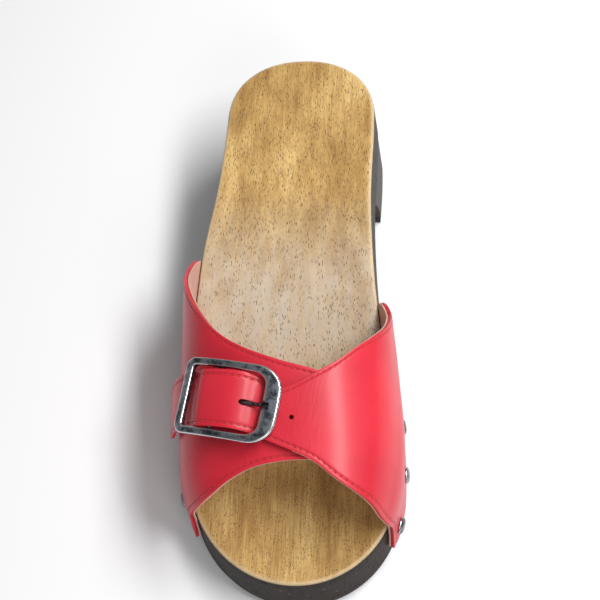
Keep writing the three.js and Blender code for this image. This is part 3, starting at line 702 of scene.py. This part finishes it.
def heelTread():
    rings = []
    centre = np.array([0, (heel["breastBottom"] + halfLength) / 2])
    thick = heel["treadThickness"]
    for inset, share, z in ((0.9, 0, 0), (0.9, 0.6, 0), (0.9, 1, 0), (0.5, 1, 0.18), (0.4, 1, 0.6),
                            (0.4, 1, thick - 0.5), (0.7, 1, thick), (0.7, 0.5, thick), (0.7, 0, thick)):
        flat = heelOutline(44, 14, 0, inset)
        flat = centre + (flat - centre) * share
        rings.append(np.column_stack([flat, flat[:, 1] * 0 + z]))
    piece = gridPiece("heel_top_piece", np.array(rings))
    closeSkin(piece)
    places = [(side * 11, 80 + 7 * k, side) for k in range(6) for side in (-1, 1)]
    cutWith(piece, grooveCutter(places, 1.8, 1.1, 19, 0.35))
    smoothShade(piece)
    return finishPiece(piece, "clog", "tread_rubber", [treadRubber], "heel_tread")


def forefootTread():
    steps, endSteps, inset, end = 60, 14, 0.8, -28
    toe = -halfLength + inset
    run = np.arange(steps + 1) / steps
    y = toe + (end - toe) * (1 - np.cos(math.pi / 2 * run))
    outer = np.column_stack([np.minimum(soleEdge(-1, y, 0) + inset, through(centreLine, y)), y])[::-1]
    inner = np.column_stack([np.maximum(soleEdge(1, y, 0) - inset, through(centreLine, y)), y])[1:]
    across = np.arange(1, endSteps + 1) / endSteps
    back = np.column_stack([inner[-1, 0] + (outer[0, 0] - inner[-1, 0]) * across,
                            end + 4 * np.sin(math.pi * across)])
    edge = np.vstack([outer, inner, back])
    edge[-1] = edge[0]
    centre = np.array([0, -0.28 * sole["length"]])
    half = np.array([46, 55])
    thick = sole["treadThickness"]
    rings = []
    for pull, share, level in ((0.6, 0, 0), (0.6, 0.35, 0), (0.6, 0.7, 0), (0.6, 1, 0), (0.2, 1, 0.06),
                               (0, 1, 0.2), (0, 1, 0.85), (0.3, 1, 1), (0.3, 0.7, 1), (0.3, 0.35, 1),
                               (0.3, 0, 1)):
        flat = centre + (edge - centre) * (1 - pull / half) * share
        top = plateBottom(flat[:, 1]) - seam
        rings.append(np.column_stack([flat, top - thick * (1 - level)]))
    piece = gridPiece("forefoot_grip", np.array(rings))
    closeSkin(piece)
    places = [(side * 13, -96 + 7 * k, side) for k in range(9) for side in (-1, 1)]
    cutWith(piece, grooveCutter(places, 2, 1.0, 23, 0.35))
    smoothShade(piece)
    return finishPiece(piece, "clog", "tread_rubber", [treadRubber], "forefoot_tread")


heelTread()
forefootTread()
print("sole done")


# ---- leather panels ----
def splinePoint(rows, run):
    # the point at a share of a smooth curve through rows of points
    rows = np.array(rows, float)
    place = np.asarray(run, float) * (len(rows) - 1)
    k = np.minimum(np.floor(place).astype(int), len(rows) - 2)
    t = (place - k)[..., None]
    p0, p1 = rows[np.maximum(k - 1, 0)], rows[k]
    p2, p3 = rows[k + 1], rows[np.minimum(k + 2, len(rows) - 1)]
    v0, v1 = (p2 - p0) / 2, (p3 - p1) / 2
    return ((2 * p1 - 2 * p2 + v0 + v1) * t**3 + (-3 * p1 + 3 * p2 - 2 * v0 - v1) * t**2 + v0 * t + p1)


def alongRows(rows):
    return [[across, share * sole["length"]] for across, share in rows]


lateralFront = alongRows([
    [-1.2, -0.386], [-1, -0.374], [-0.84, -0.378], [-0.66, -0.381], [-0.5, -0.3735],
    [-0.35, -0.357], [-0.19, -0.341], [0, -0.332], [0.2, -0.329], [0.42, -0.328]])
lateralBack = alongRows([
    [-1.2, 0.094], [-1, 0.086], [-0.8, 0.04], [-0.62, -0.012], [-0.48, -0.066],
    [-0.34, -0.118], [-0.19, -0.152], [0, -0.175], [0.21, -0.191], [0.42, -0.208]])
panelEdges = alongRows([
    [1.2, -0.402], [1, -0.389], [0.82, -0.394], [0.66, -0.392],
    [0.48, -0.377], [0.32, -0.357], [0.17, -0.33]])
panelBackEdges = alongRows([
    [1.2, 0.006], [1, 0.008], [0.82, -0.034], [0.66, -0.07],
    [0.52, -0.106], [0.4, -0.14], [0.26, -0.181]])
strapStations = [
    [25, 0], [18, 0], [11, 0], [5, 0], [0, 0], [-5, 0], [-10, 0], [-15, 0], [-22, 0],
    [-30, 0], [-33.3, leather["tabCorner"]]]


def strapEdge(sign):
    return [strapPlace(along, sign * (leather["strapWidth"] / 2 - cut)) for along, cut in strapStations]


medialFront = panelEdges + [list(map(float, p)) for p in strapEdge(-1)]
medialBack = panelBackEdges + [list(map(float, p)) for p in strapEdge(1)]
panelShare = len(panelEdges) / (len(panelEdges) + len(strapStations) - 1)


def panelLift(across):
    return overLateral * (1 - smoothStep(across, leather["overlapEnd"], leather["overlapStart"]))


def lateralBase(across, run, width):
    return across * 0 + leatherBase


def medialBase(across, run, width):
    over = (width - 0.5) * leather["strapWidth"]
    strap = through(strapHeights, (across - rodAcross) * rodSpan - over * strapLean)
    lift = leatherBase + panelLift(across)
    return np.where(run > panelShare - 0.06, np.maximum(strap, lift), lift)


edgeRows = np.array([0, 0.45, 0.95, 1.4, 1.75, 1.95, 2.15, 2.5, 3.0, 4.0, 5.6])


class Panel:
    # a leather panel between its front and back edges, from its lower end at 0 to its far end
    def __init__(self, front, back, base, thickness, lastRun=1.0, step=1.25, middleRows=16):
        self.front, self.back = front, back
        self.base, self.thickness = base, thickness
        fine = np.linspace(0, lastRun, 500)
        a = self.at(fine, fine * 0, 0)
        b = self.at(fine, fine * 0 + 1, 0)
        pace = (np.linalg.norm(np.diff(a, axis=0), axis=1) + np.linalg.norm(np.diff(b, axis=0), axis=1)) / 2
        distance = np.concatenate([[0], np.cumsum(pace)])
        self.columns = int(distance[-1] / step)
        self.runs = np.interp(np.linspace(0, distance[-1], self.columns + 1), distance, fine)
        chord = np.linspace(0, 1, 15)
        across = self.at(self.runs[:, None] + chord * 0, self.runs[:, None] * 0 + chord, 0)
        self.widths = np.linalg.norm(np.diff(across, axis=1), axis=2).sum(1)
        span = self.widths[:, None] - 2 * edgeRows[-1]
        middle = edgeRows[-1] + span * (np.arange(1, middleRows) / middleRows)[None, :]
        rows = np.concatenate([np.tile(edgeRows, (self.columns + 1, 1)), middle,
                               self.widths[:, None] - edgeRows[::-1][None, :]], 1)
        self.fromFront = rows.T
        self.inset = np.minimum(self.fromFront, self.widths[None, :] - self.fromFront)
        self.shares = self.fromFront / self.widths[None, :]
        self.edgeLengths = {}
        for sign, share in ((-1, 0.0), (1, 1.0)):
            line = self.at(self.runs, self.runs * 0 + share, 0)
            steps = np.linalg.norm(np.diff(line, axis=0), axis=1)
            self.edgeLengths[sign] = np.concatenate([[0], np.cumsum(steps)])

    def at(self, run, width, level):
        a, b = splinePoint(self.front, run), splinePoint(self.back, run)
        place = a + (b - a) * width[..., None]
        across, y = place[..., 0], place[..., 1]
        return archOffset(across, y, self.base(across, run, width) + level)

    def shape(self, name, level, groove):
        run = np.broadcast_to(self.runs[None, :], self.shares.shape)
        line = np.exp(-((self.inset - leather["stitchInset"]) / 0.45) ** 2)
        thin = np.exp(-(self.inset / 0.5) ** 2)
        points = self.at(run, self.shares, level - groove * line - 0.5 * groove * thin)
        piece = gridPiece(name, points)
        lengths = np.where(self.shares < 0.5, self.edgeLengths[-1][None, :], self.edgeLengths[1][None, :])
        pointValue(piece, "seamRun", lengths)
        pointValue(piece, "seamInset", self.inset)
        flatMap(piece, self.edgeLengths[-1][None, :] + self.shares * 0, self.fromFront)
        return piece, points

    def seamLine(self, sign, start, end):
        # stitch places along one edge: middles, directions and normals
        total = self.edgeLengths[sign]
        pitch = leather["stitchPitch"]
        first = math.ceil(start / pitch)
        lengths = (np.arange(first, int(min(end, total[-1]) / pitch)) + 0.5) * pitch
        return lengths, np.interp(lengths, total, self.runs)

    def edgePoint(self, sign, run, inset):
        width = np.interp(run, self.runs, self.widths)
        share = inset / width if sign < 0 else 1 - inset / width
        return self.at(run, share, self.thickness - leather["groove"])


def thicken(piece, thickness, rim):
    up = (0, 0, 1)
    facing(piece, up)
    piece.data.materials.clear()
    for material in (redLeather, leatherEdge):
        piece.data.materials.append(material)
    addModifier(piece, "SOLIDIFY", thickness=thickness * 0.001, offset=-1, use_even_offset=True,
                use_rim=True, material_offset_rim=1 if rim else 0)
    addModifier(piece, "BEVEL", width=leather["edgeRound"] * 0.001, segments=2, limit_method="ANGLE",
                angle_limit=math.radians(50), use_clamp_overlap=True)


def stitchShape():
    # one stitch: a short thread that dips into the leather at both ends
    bpy.ops.object.select_all(action="DESELECT")
    bpy.ops.mesh.primitive_uv_sphere_add(segments=8, ring_count=6, radius=1)
    stitch = bpy.context.object
    stitch.data.transform(Matrix.Rotation(math.pi / 2, 4, "Y"))
    for vertex in stitch.data.vertices:
        x, y, z = vertex.co
        vertex.co = (0.93 * x, 0.3 * y * (1 - 0.25 * x * x), 0.3 * z - 0.18 * x * x)
    onlySelect(stitch)
    bpy.ops.object.shade_smooth()
    return stitch


def sewSeam(name, template, middles, ahead, normals):
    copies = []
    for middle, direction, normal in zip(middles, ahead, normals):
        x = Vector(direction).normalized()
        z = Vector(normal).normalized()
        y = z.cross(x).normalized()
        z = x.cross(y)
        lean = Matrix.Rotation(0.16, 4, "Z")
        basis = Matrix((x, y, z)).transposed().to_4x4()
        copy = template.copy()
        copy.data = template.data.copy()
        bpy.context.scene.collection.objects.link(copy)
        place = Matrix.Translation(Vector(toFrame(middle)))
        copy.data.transform(place @ basis @ lean @ Matrix.Scale(0.001, 4))
        copies.append(copy)
    return joinPieces(copies, name)


def sewPanel(name, panel, seams, extra=()):
    middles, ahead, normals = [], [], []
    for sign, start, end in seams:
        lengths, runs = panel.seamLine(sign, start, end)
        inset = np.full(len(runs), leather["stitchInset"])
        p = panel.edgePoint(sign, runs, inset)
        step = 0.4
        later = np.interp(lengths + step, panel.edgeLengths[sign], panel.runs)
        sooner = np.interp(lengths - step, panel.edgeLengths[sign], panel.runs)
        direction = panel.edgePoint(sign, later, inset) - panel.edgePoint(sign, sooner, inset)
        side = panel.edgePoint(sign, runs, inset + 0.5) - panel.edgePoint(sign, runs, inset - 0.5)
        normal = np.cross(direction, side)
        normal *= np.where((normal * archNormal(*np.moveaxis(
            splinePoint(panel.front if sign < 0 else panel.back, runs), -1, 0))).sum(1) < 0, -1, 1)[:, None]
        middles.append(p)
        ahead.append(direction)
        normals.append(normal)
    for p, direction, normal in extra:
        middles.append(np.array([p]))
        ahead.append(np.array([direction]))
        normals.append(np.array([normal]))
    template = stitchShape()
    piece = sewSeam(name, template, np.vstack(middles), np.vstack(ahead), np.vstack(normals))
    bpy.data.objects.remove(template)
    return finishPiece(piece, "clog", "red_leather", [redThread])


def cylinderCutter(start, end, radius, sides=20):
    start, end = Vector(toFrame(start)), Vector(toFrame(end))
    direction = end - start
    bpy.ops.object.select_all(action="DESELECT")
    bpy.ops.mesh.primitive_cylinder_add(vertices=sides, radius=radius * 0.001, depth=direction.length)
    cutter = bpy.context.object
    turn = direction.to_track_quat("Z", "Y").to_matrix().to_4x4()
    cutter.data.transform(Matrix.Translation((start + end) / 2) @ turn)
    return cutter


lateralPanel = Panel(lateralFront, lateralBack, lateralBase, leather["thickness"])
lateralLeather, _ = lateralPanel.shape("outer_panel", leather["thickness"], leather["groove"])
pointValue(lateralLeather, "crease", np.zeros(lateralPanel.shares.size))
thicken(lateralLeather, leather["thickness"], True)
smoothShade(lateralLeather, 60)
finishPiece(lateralLeather, "clog", "red_leather", [redLeather, leatherEdge], "lateral_upper")
sewPanel("outer_panel_stitches", lateralPanel, [(-1, 13.5, 400), (1, 13.5, 400)])


def liningBase(across, run, width):
    return across * 0 + seam


def medialLiningBase(across, run, width):
    return seam + panelLift(across)


def liningShape(name, node, front, back, base, lastRun):
    panel = Panel(front, back, base, leather["lining"], lastRun, 2.2, 10)
    piece, _ = panel.shape(name, leather["lining"], 0)
    facing(piece, (0, 0, 1))
    addModifier(piece, "SOLIDIFY", thickness=leather["lining"] * 0.001, offset=-1)
    addModifier(piece, "BEVEL", width=0.0002, segments=2, limit_method="ANGLE",
                angle_limit=math.radians(50))
    smoothShade(piece, 60)
    return finishPiece(piece, "clog", "lining_leather", [liningLeather], node)


liningShape("outer_lining", "lateral_lining", lateralFront, lateralBack, liningBase, 1.0)
liningShape("inner_lining", "medial_lining", medialFront, medialBack, medialLiningBase, panelShare - 0.03)

# The rod's line and the prong's reach are needed for the strap's holes.
buckle = {
    "length": 37, "wideBar": 6, "narrowBar": 3.2, "thickness": 2.6, "slack": 1.3, "lift": 1.3,
    "lug": 2.6, "prong": 0.9, "prongRing": 2.4, "prongRest": 1.2, "prongOverBar": 2.4,
    "outerCorner": 4, "innerCorner": 9.5, "bow": 0.8,
    "openingOuterCorner": 1.6, "openingInnerCorner": 4.5, "openingBow": 0.3,
}
frameOuter = -rod["fromOuterEnd"]
frameInner = buckle["length"] - rod["fromOuterEnd"]
frameHalf = leather["strapWidth"] / 2 + buckle["slack"] + buckle["narrowBar"]
wideBarBase = strapSeat + leather["strapThickness"] + buckle["lift"]
outerBarBase = tailSeat + leather["strapThickness"] + buckle["lift"]
barPlace = frameInner - buckle["wideBar"] / 2
rodMiddle = strapPoint(0, 0, rodHeight)
rodDirection = strapPoint(barPlace, 8, 0) - strapPoint(barPlace, -8, 0)
rodDirection /= np.linalg.norm(rodDirection)
rodFrom = rodMiddle - rodDirection * (frameHalf - seam)
rodTo = rodMiddle + rodDirection * (frameHalf - seam)


def frameBase(along):
    return outerBarBase + (wideBarBase - outerBarBase) * (along - frameOuter) / buckle["length"]


def framePoint(along, over, height):
    # the stiff frame follows the strap's middle line, and runs straight across it
    along, over = np.broadcast_arrays(np.asarray(along, float), np.asarray(over, float))
    point = strapPoint(along, along * 0, frameBase(along) + height)
    slide = (point - rodMiddle) @ rodDirection
    return point + (over - slide)[..., None] * rodDirection


prongTip = framePoint(frameInner - buckle["wideBar"] + buckle["prongOverBar"], 0,
                      buckle["thickness"] - buckle["prongRest"] + buckle["prong"] + seam)


def turnedAboutRod(point, degrees):
    turn = Matrix.Rotation(math.radians(degrees), 3, Vector(rodDirection))
    return rodMiddle + np.array(turn @ Vector(point - rodMiddle))


medialPanel = Panel(medialFront, medialBack, medialBase, leather["strapThickness"], step=1.1)
medialLeather, medialPoints = medialPanel.shape("inner_panel", leather["strapThickness"], leather["groove"])
placeNow = splinePoint(medialFront, medialPanel.runs)
alongNow = (placeNow[:, 0] - rodAcross) * rodSpan
creaseNow = np.exp(-(((alongNow - 33) / 7) ** 2)) + 0.7 * np.exp(-(((alongNow - 12) / 4) ** 2))
pointValue(medialLeather, "crease", np.broadcast_to(np.clip(creaseNow, 0, 1), medialPanel.shares.shape))
thicken(medialLeather, leather["strapThickness"], True)
for swing in (-2.5, -1, 0.5, 2, 3.5, 4.8, 5.8):
    reach = turnedAboutRod(prongTip, -swing)
    cutWith(medialLeather, cylinderCutter(rodMiddle + (reach - rodMiddle) * 0.16, reach, 1.2, 18))
spareAcross, spareY = strapPlace(30, 0.8)
low, high = (archOffset(spareAcross, spareY, overLateral + d) for d in (-0.2, 6))
cutWith(medialLeather, cylinderCutter(low, high, 0.95))
smoothShade(medialLeather, 60)
finishPiece(medialLeather, "clog", "red_leather", [redLeather, leatherEdge], "medial_upper")

# stitches across the end of the tab
tabStitches = []
tabRun = np.interp(medialPanel.edgeLengths[-1][-1] - leather["stitchInset"],
                   medialPanel.edgeLengths[-1], medialPanel.runs)
for k in range(6):
    share = np.array([0.14 + 0.145 * k])
    run = np.array([tabRun])
    level = leather["strapThickness"] - leather["groove"]
    p = medialPanel.at(run, share, level)[0]
    direction = medialPanel.at(run, share + 0.03, level)[0] - medialPanel.at(run, share - 0.03, level)[0]
    before = medialPanel.at(run - 0.01, share, level)[0] - medialPanel.at(run, share, level)[0]
    normal = np.cross(direction, before)
    if normal[2] < 0:
        normal = -normal
    tabStitches.append((p, direction, normal))
sewPanel("inner_panel_stitches", medialPanel,
         [(-1, 13.5, medialPanel.edgeLengths[-1][-1] - 3.5), (1, 13.5, medialPanel.edgeLengths[1][-1] - 3.5)],
         tabStitches)
print("leather done")


# ---- buckle ----
def tube(name, line, radii, sides=20):
    # a round bar along a line of points, with domed ends
    line = np.asarray(line, float)
    tangent = np.gradient(line, axis=0)
    tangent /= np.linalg.norm(tangent, axis=1, keepdims=True)
    guide = np.cross(tangent[0], (0.0, 1.0, 0.3) if abs(tangent[0][1]) < 0.8 else (0.0, 0.0, 1.0))
    rings = []
    for p, t, r in zip(line, tangent, radii):
        guide = guide - t * guide.dot(t)
        guide /= np.linalg.norm(guide)
        other = np.cross(t, guide)
        angle = np.linspace(0, 2 * math.pi, sides + 1)[:, None]
        rings.append(p + r * (np.cos(angle) * guide + np.sin(angle) * other))
    piece = gridPiece(name, np.array(rings))
    closeSkin(piece)
    return piece


def domedEnds(start, end, radius, dome, steps=8):
    # points and radii of a straight bar whose ends are rounded
    start, end = np.asarray(start, float), np.asarray(end, float)
    direction = (end - start) / np.linalg.norm(end - start)
    angle = np.linspace(0, math.pi / 2, steps)
    head = [(start + direction * dome * (1 - math.sin(a)), radius * math.cos(a)) for a in angle[::-1]]
    tail = [(end - direction * dome * (1 - math.sin(a)), radius * math.cos(a)) for a in angle]
    rows = head + tail
    return np.array([p for p, _ in rows]), np.array([max(r, 1e-4) for _, r in rows])


def roundedRectangle(outer, inner, half, outerRadius, innerRadius, bow, turnSteps=10, sideSteps=9):
    corners = [(inner - innerRadius, -half + innerRadius, innerRadius, -90),
               (inner - innerRadius, half - innerRadius, innerRadius, 0),
               (outer + outerRadius, half - outerRadius, outerRadius, 90),
               (outer + outerRadius, -half + outerRadius, outerRadius, 180)]
    points = []
    for k, (along, over, radius, start) in enumerate(corners):
        for i in range(turnSteps + 1):
            angle = math.radians(start + 90 * i / turnSteps)
            points.append((along + radius * math.cos(angle), over + radius * math.sin(angle)))
        nextAlong, nextOver, nextRadius, nextStart = corners[(k + 1) % 4]
        angle = math.radians(nextStart)
        target = (nextAlong + nextRadius * math.cos(angle), nextOver + nextRadius * math.sin(angle))
        origin = points[-1]
        for i in range(1, sideSteps):
            t = i / sideSteps
            points.append((origin[0] + (target[0] - origin[0]) * t, origin[1] + (target[1] - origin[1]) * t))
    points = np.array(points)
    nearness = np.clip((points[:, 0] - inner + innerRadius) / innerRadius, 0, 1)
    points[:, 0] += bow * nearness * (1 - (points[:, 1] / half) ** 2)
    return np.vstack([points, points[:1]])


def buckleFrame():
    outlineRow = roundedRectangle(frameOuter, frameInner, frameHalf,
                                  buckle["outerCorner"], buckle["innerCorner"], buckle["bow"])
    half = frameHalf - buckle["narrowBar"]
    opening = roundedRectangle(frameOuter + buckle["narrowBar"], frameInner - buckle["wideBar"], half,
                               buckle["openingOuterCorner"], buckle["openingInnerCorner"],
                               buckle["openingBow"])
    # across the bar: share from outer to inner side, height share, wear
    section = [(0.1, 0, 0), (0.02, 0.1, 0), (0, 0.3, 0), (0, 0.62, 0.1), (0.025, 0.8, 0.9), (0.09, 0.95, 1),
               (0.17, 1, 0.35), (0.3, 1, 0), (0.5, 1.01, 0), (0.7, 1, 0), (0.83, 1, 0.35),
               (0.91, 0.95, 1), (0.975, 0.8, 0.9), (1, 0.62, 0.1), (1, 0.3, 0), (0.98, 0.1, 0),
               (0.9, 0, 0), (0.5, 0, 0), (0.1, 0, 0)]
    rings, wears = [], []
    for inward, level, wear in section:
        place = outlineRow + (opening - outlineRow) * inward
        rings.append(framePoint(place[:, 0], place[:, 1], level * buckle["thickness"]))
        wears.append(np.full(len(place), float(wear)))
    piece = gridPiece("buckle_loop", np.array(rings))
    pointValue(piece, "edgeWear", np.array(wears))
    closeSkin(piece)
    for sign in (-1, 1):
        inside = rodMiddle + rodDirection * sign * (half + 0.1)
        outside = rodMiddle + rodDirection * sign * (frameHalf - seam)
        line, radii = domedEnds(inside, outside, buckle["lug"], 0.5, 5)
        cutWith(piece, tube("lug", line, radii, 28), "UNION")
    reach = (prongTip - rodMiddle) / np.linalg.norm(prongTip - rodMiddle)
    cutWith(piece, cylinderCutter(rodMiddle - rodDirection * (frameHalf + 2), rodMiddle + rodDirection
                                  * (frameHalf + 2), rod["radius"] + seam, 28))
    cutWith(piece, cylinderCutter(prongTip - reach * 6, prongTip + reach * 0.6, buckle["prong"] + seam, 24))
    smoothShade(piece, 42)
    return finishPiece(piece, "buckle", "aged_silver", [agedSilver], "buckle_frame")


def buckleRod():
    line, radii = domedEnds(rodFrom, rodTo, rod["radius"], 0.45, 6)
    piece = tube("buckle_pin", line, radii, 28)
    smoothShade(piece, 50)
    return finishPiece(piece, "buckle", "aged_silver", [darkSilver], "buckle_rod")


def buckleProng():
    inner = rod["radius"] + seam
    outer = inner + rod["ringWall"]
    half = buckle["prongRing"] / 2
    side = np.cross(rodDirection, (0.0, 0.0, 1.0))
    side /= np.linalg.norm(side)
    up = np.cross(side, rodDirection)
    section = [(inner, -half + 0.2), (inner + 0.2, -half), (outer - 0.35, -half),
               (outer - 0.08, -half + 0.25),
               (outer, 0), (outer - 0.08, half - 0.25), (outer - 0.35, half), (inner + 0.2, half),
               (inner, half - 0.2), (inner, -half + 0.2)]
    angle = np.linspace(0, 2 * math.pi, 41)
    around = np.cos(angle)[:, None] * side + np.sin(angle)[:, None] * up
    rings = np.array([rodMiddle + around * radius + rodDirection * shift for radius, shift in section])
    piece = gridPiece("buckle_tongue", rings)
    closeSkin(piece)
    reach = prongTip - rodMiddle
    length = np.linalg.norm(reach)
    direction = reach / length
    lift = np.cross(reach, rodDirection)
    lift *= np.sign(lift[2]) / np.linalg.norm(lift)
    shares = np.linspace((inner + 0.35) / length, 1, 26)
    line = [rodMiddle + direction * length * s + lift * 0.1 * math.sin(math.pi * s) for s in shares]
    radii = buckle["prong"] * (1 - 0.16 * np.linspace(0, 1, 26))
    for k, share in enumerate((0.97, 0.86, 0.6, 1e-4)):
        radii[-4 + k] *= share
        line[-4 + k] = line[-5] + direction * (0.28 * (k + 1))
    radii[0] = 1e-4
    line[0] = line[1] - direction * 0.05
    cutWith(piece, tube("shank", line, radii, 18), "UNION")
    smoothShade(piece, 45)
    return finishPiece(piece, "prong", "aged_silver", [darkSilver], "buckle_prong")


buckleFrame()
buckleRod()
buckleProng()


# ---- chape ----
def buckleChape():
    width, reachBack, thick = chape["width"], chape["reach"], chape["thickness"]
    loopIn = rod["radius"] + seam
    loopOut = loopIn + chape["loopWall"]
    slotHalf = (buckle["prongRing"] + 4 * seam) / 2
    rise = [[-reachBack, 0], [-6, 0], [-2, 0.7], [0, 1]]
    parts = []
    over = np.concatenate([[-width / 2], np.linspace(-width / 2 + 0.3, width / 2 - 0.3, 16), [width / 2]])
    along = np.linspace(-reachBack, -3.6, 22)
    rows = np.array([strapPoint(a, over, overLateral + through(rise, a) + thick) for a in along])
    tail = gridPiece("chape_tail", rows)
    facing(tail, (0, 0, 1))
    addModifier(tail, "SOLIDIFY", thickness=thick * 0.001, offset=-1)
    addModifier(tail, "BEVEL", width=0.0003, segments=2, limit_method="ANGLE", angle_limit=math.radians(50))
    parts.append(tail)
    side = np.cross(rodDirection, (0.0, 0.0, 1.0))
    side /= np.linalg.norm(side)
    up = np.cross(side, rodDirection)
    angle = np.linspace(0, 2 * math.pi, 33)
    around = np.cos(angle)[:, None] * side + np.sin(angle)[:, None] * up
    for sign in (-1, 1):
        rings = []
        for radius, share in ((loopIn, 0), (loopOut - 0.12, 0), (loopOut, 0.03), (loopOut, 0.97),
                              (loopOut - 0.12, 1), (loopIn, 1), (loopIn, 0)):
            shift = sign * (slotHalf + (width / 2 - slotHalf) * share)
            rings.append(rodMiddle + around * radius + rodDirection * shift)
        loop = gridPiece("chape_loop", np.array(rings))
        closeSkin(loop)
        parts.append(loop)
    piece = joinPieces(parts, "buckle_strap_loop")
    for name in ("seamRun", "crease"):
        pointValue(piece, name, np.zeros(len(piece.data.vertices)))
    pointValue(piece, "seamInset", np.full(len(piece.data.vertices), 9.0))
    smoothShade(piece, 50)
    return finishPiece(piece, "clog", "red_leather", [redLeather], "buckle_chape")


buckleChape()


# ---- domed nails ----
tack = {"head": 3.7, "height": 1.6, "shank": 0.9, "length": 12, "across": 1.135, "fromEnd": 8,
        "lateralFront": 15, "lift": 0.3}


def tackShape(name, across, y, node):
    direction = archNormal(np.array(across), np.array(y))
    seat = archOffset(np.array(across), np.array(y), panelTop + tack["lift"])
    first = np.cross(direction, (0.0, 1.0, 0.0))
    first /= np.linalg.norm(first)
    second = np.cross(direction, first)
    profile = [(0, -tack["length"]), (tack["shank"], -tack["length"] + 2), (tack["shank"], 0.15),
               (tack["head"] - 0.7, 0.12), (tack["head"] - 0.12, 0.0), (tack["head"], 0.14)]
    for k in range(1, 9):
        angle = math.pi / 2 * k / 8
        radius = tack["head"] * math.cos(angle) if k < 8 else 0
        profile.append((radius, 0.14 + (tack["height"] - 0.14) * math.sin(angle)))
    wear = [0, 0, 0, 0, 0.3, 0.8, 0.25, 0.1, 0, 0, 0.1, 0.3, 0.5, 0.6]
    angle = np.linspace(0, 2 * math.pi, 29)
    around = np.cos(angle)[:, None] * first + np.sin(angle)[:, None] * second
    piece = gridPiece(name, np.array([seat + around * r + direction * h for r, h in profile]))
    pointValue(piece, "edgeWear", np.repeat(wear, 29))
    closeSkin(piece)
    smoothShade(piece, 50)
    return finishPiece(piece, "clog", "aged_silver", [agedSilver], node)


def tackRow(kind, front, back, side, count, frontDistance):
    start = front[0][1] + frontDistance
    end = back[0][1] - tack["fromEnd"]
    for k in range(count):
        y = start + (end - start) * k / (count - 1)
        tackShape(f"{kind}_stud_{k + 1}", side * tack["across"], y, f"{kind}_tack_{k + 1}")


tackRow("lateral", lateralFront, lateralBack, -1, 6, tack["lateralFront"])
tackRow("medial", medialFront, medialBack, 1, 5, tack["fromEnd"])
for k in range(1, 4):
    nail = nodes[f"heel_nail_{k}"]
    nail.data.materials.clear()
    nail.data.materials.append(nailSteel)
print("metal done")

# ---- floor, light and camera ----
studio = {"floor": (0.86, 0.86, 0.87), "key": 12, "fill": 3.4, "rim": 0.5, "world": 0.26}
bpy.ops.object.select_all(action="DESELECT")
bpy.ops.mesh.primitive_plane_add(size=8, location=(0, 0, -0.0002))
floor = bpy.context.object
floor.name = "floor"
paper = Finish("palePaper", Roughness=0.9)
paper.shader.inputs["Base Color"].default_value = shade(*studio["floor"])
floor.data.materials.append(paper.material)

world = bpy.data.worlds.new("studio")
bpy.context.scene.world = world
world.use_nodes = True
background = world.node_tree.nodes["Background"]
background.inputs["Color"].default_value = (1, 1, 1, 1)
background.inputs["Strength"].default_value = studio["world"]


def areaLight(name, place, target, size, power):
    lamp = bpy.data.lights.new(name, "AREA")
    lamp.shape = "RECTANGLE"
    lamp.size, lamp.size_y = size
    lamp.energy = power
    holder = bpy.data.objects.new(name, lamp)
    bpy.context.scene.collection.objects.link(holder)
    holder.location = place
    holder.rotation_euler = (Vector(target) - Vector(place)).to_track_quat("-Z", "Y").to_euler()
    return holder


areaLight("window", (0.5, 0.08, 0.92), (0, 0, 0.04), (0.9, 0.2), studio["key"])
areaLight("softFill", (0.4, -0.95, 0.75), (0, 0, 0.03), (0.6, 0.5), studio["fill"])
areaLight("overhead", (0, 0.3, 1.1), (0, 0, 0.04), (0.8, 0.8), studio["rim"])

eye = Vector(toFrame([52.4, -252.3, 517.5]))
aim = Vector(toFrame([1, 4, 38]))
ahead = (aim - eye).normalized()
upright = Vector((0, math.sin(math.radians(67.6)), math.cos(math.radians(67.6))))
rightWay = ahead.cross(upright).normalized()
upWay = rightWay.cross(ahead)
lens = bpy.data.cameras.new("camera")
lens.sensor_width = 36
lens.lens = 73
camera = bpy.data.objects.new("camera", lens)
bpy.context.scene.collection.objects.link(camera)
camera.matrix_world = Matrix.Translation(eye) @ Matrix((rightWay, upWay, -ahead)).transposed().to_4x4()
bpy.context.scene.camera = camera
bpy.context.scene.view_settings.view_transform = "Standard"
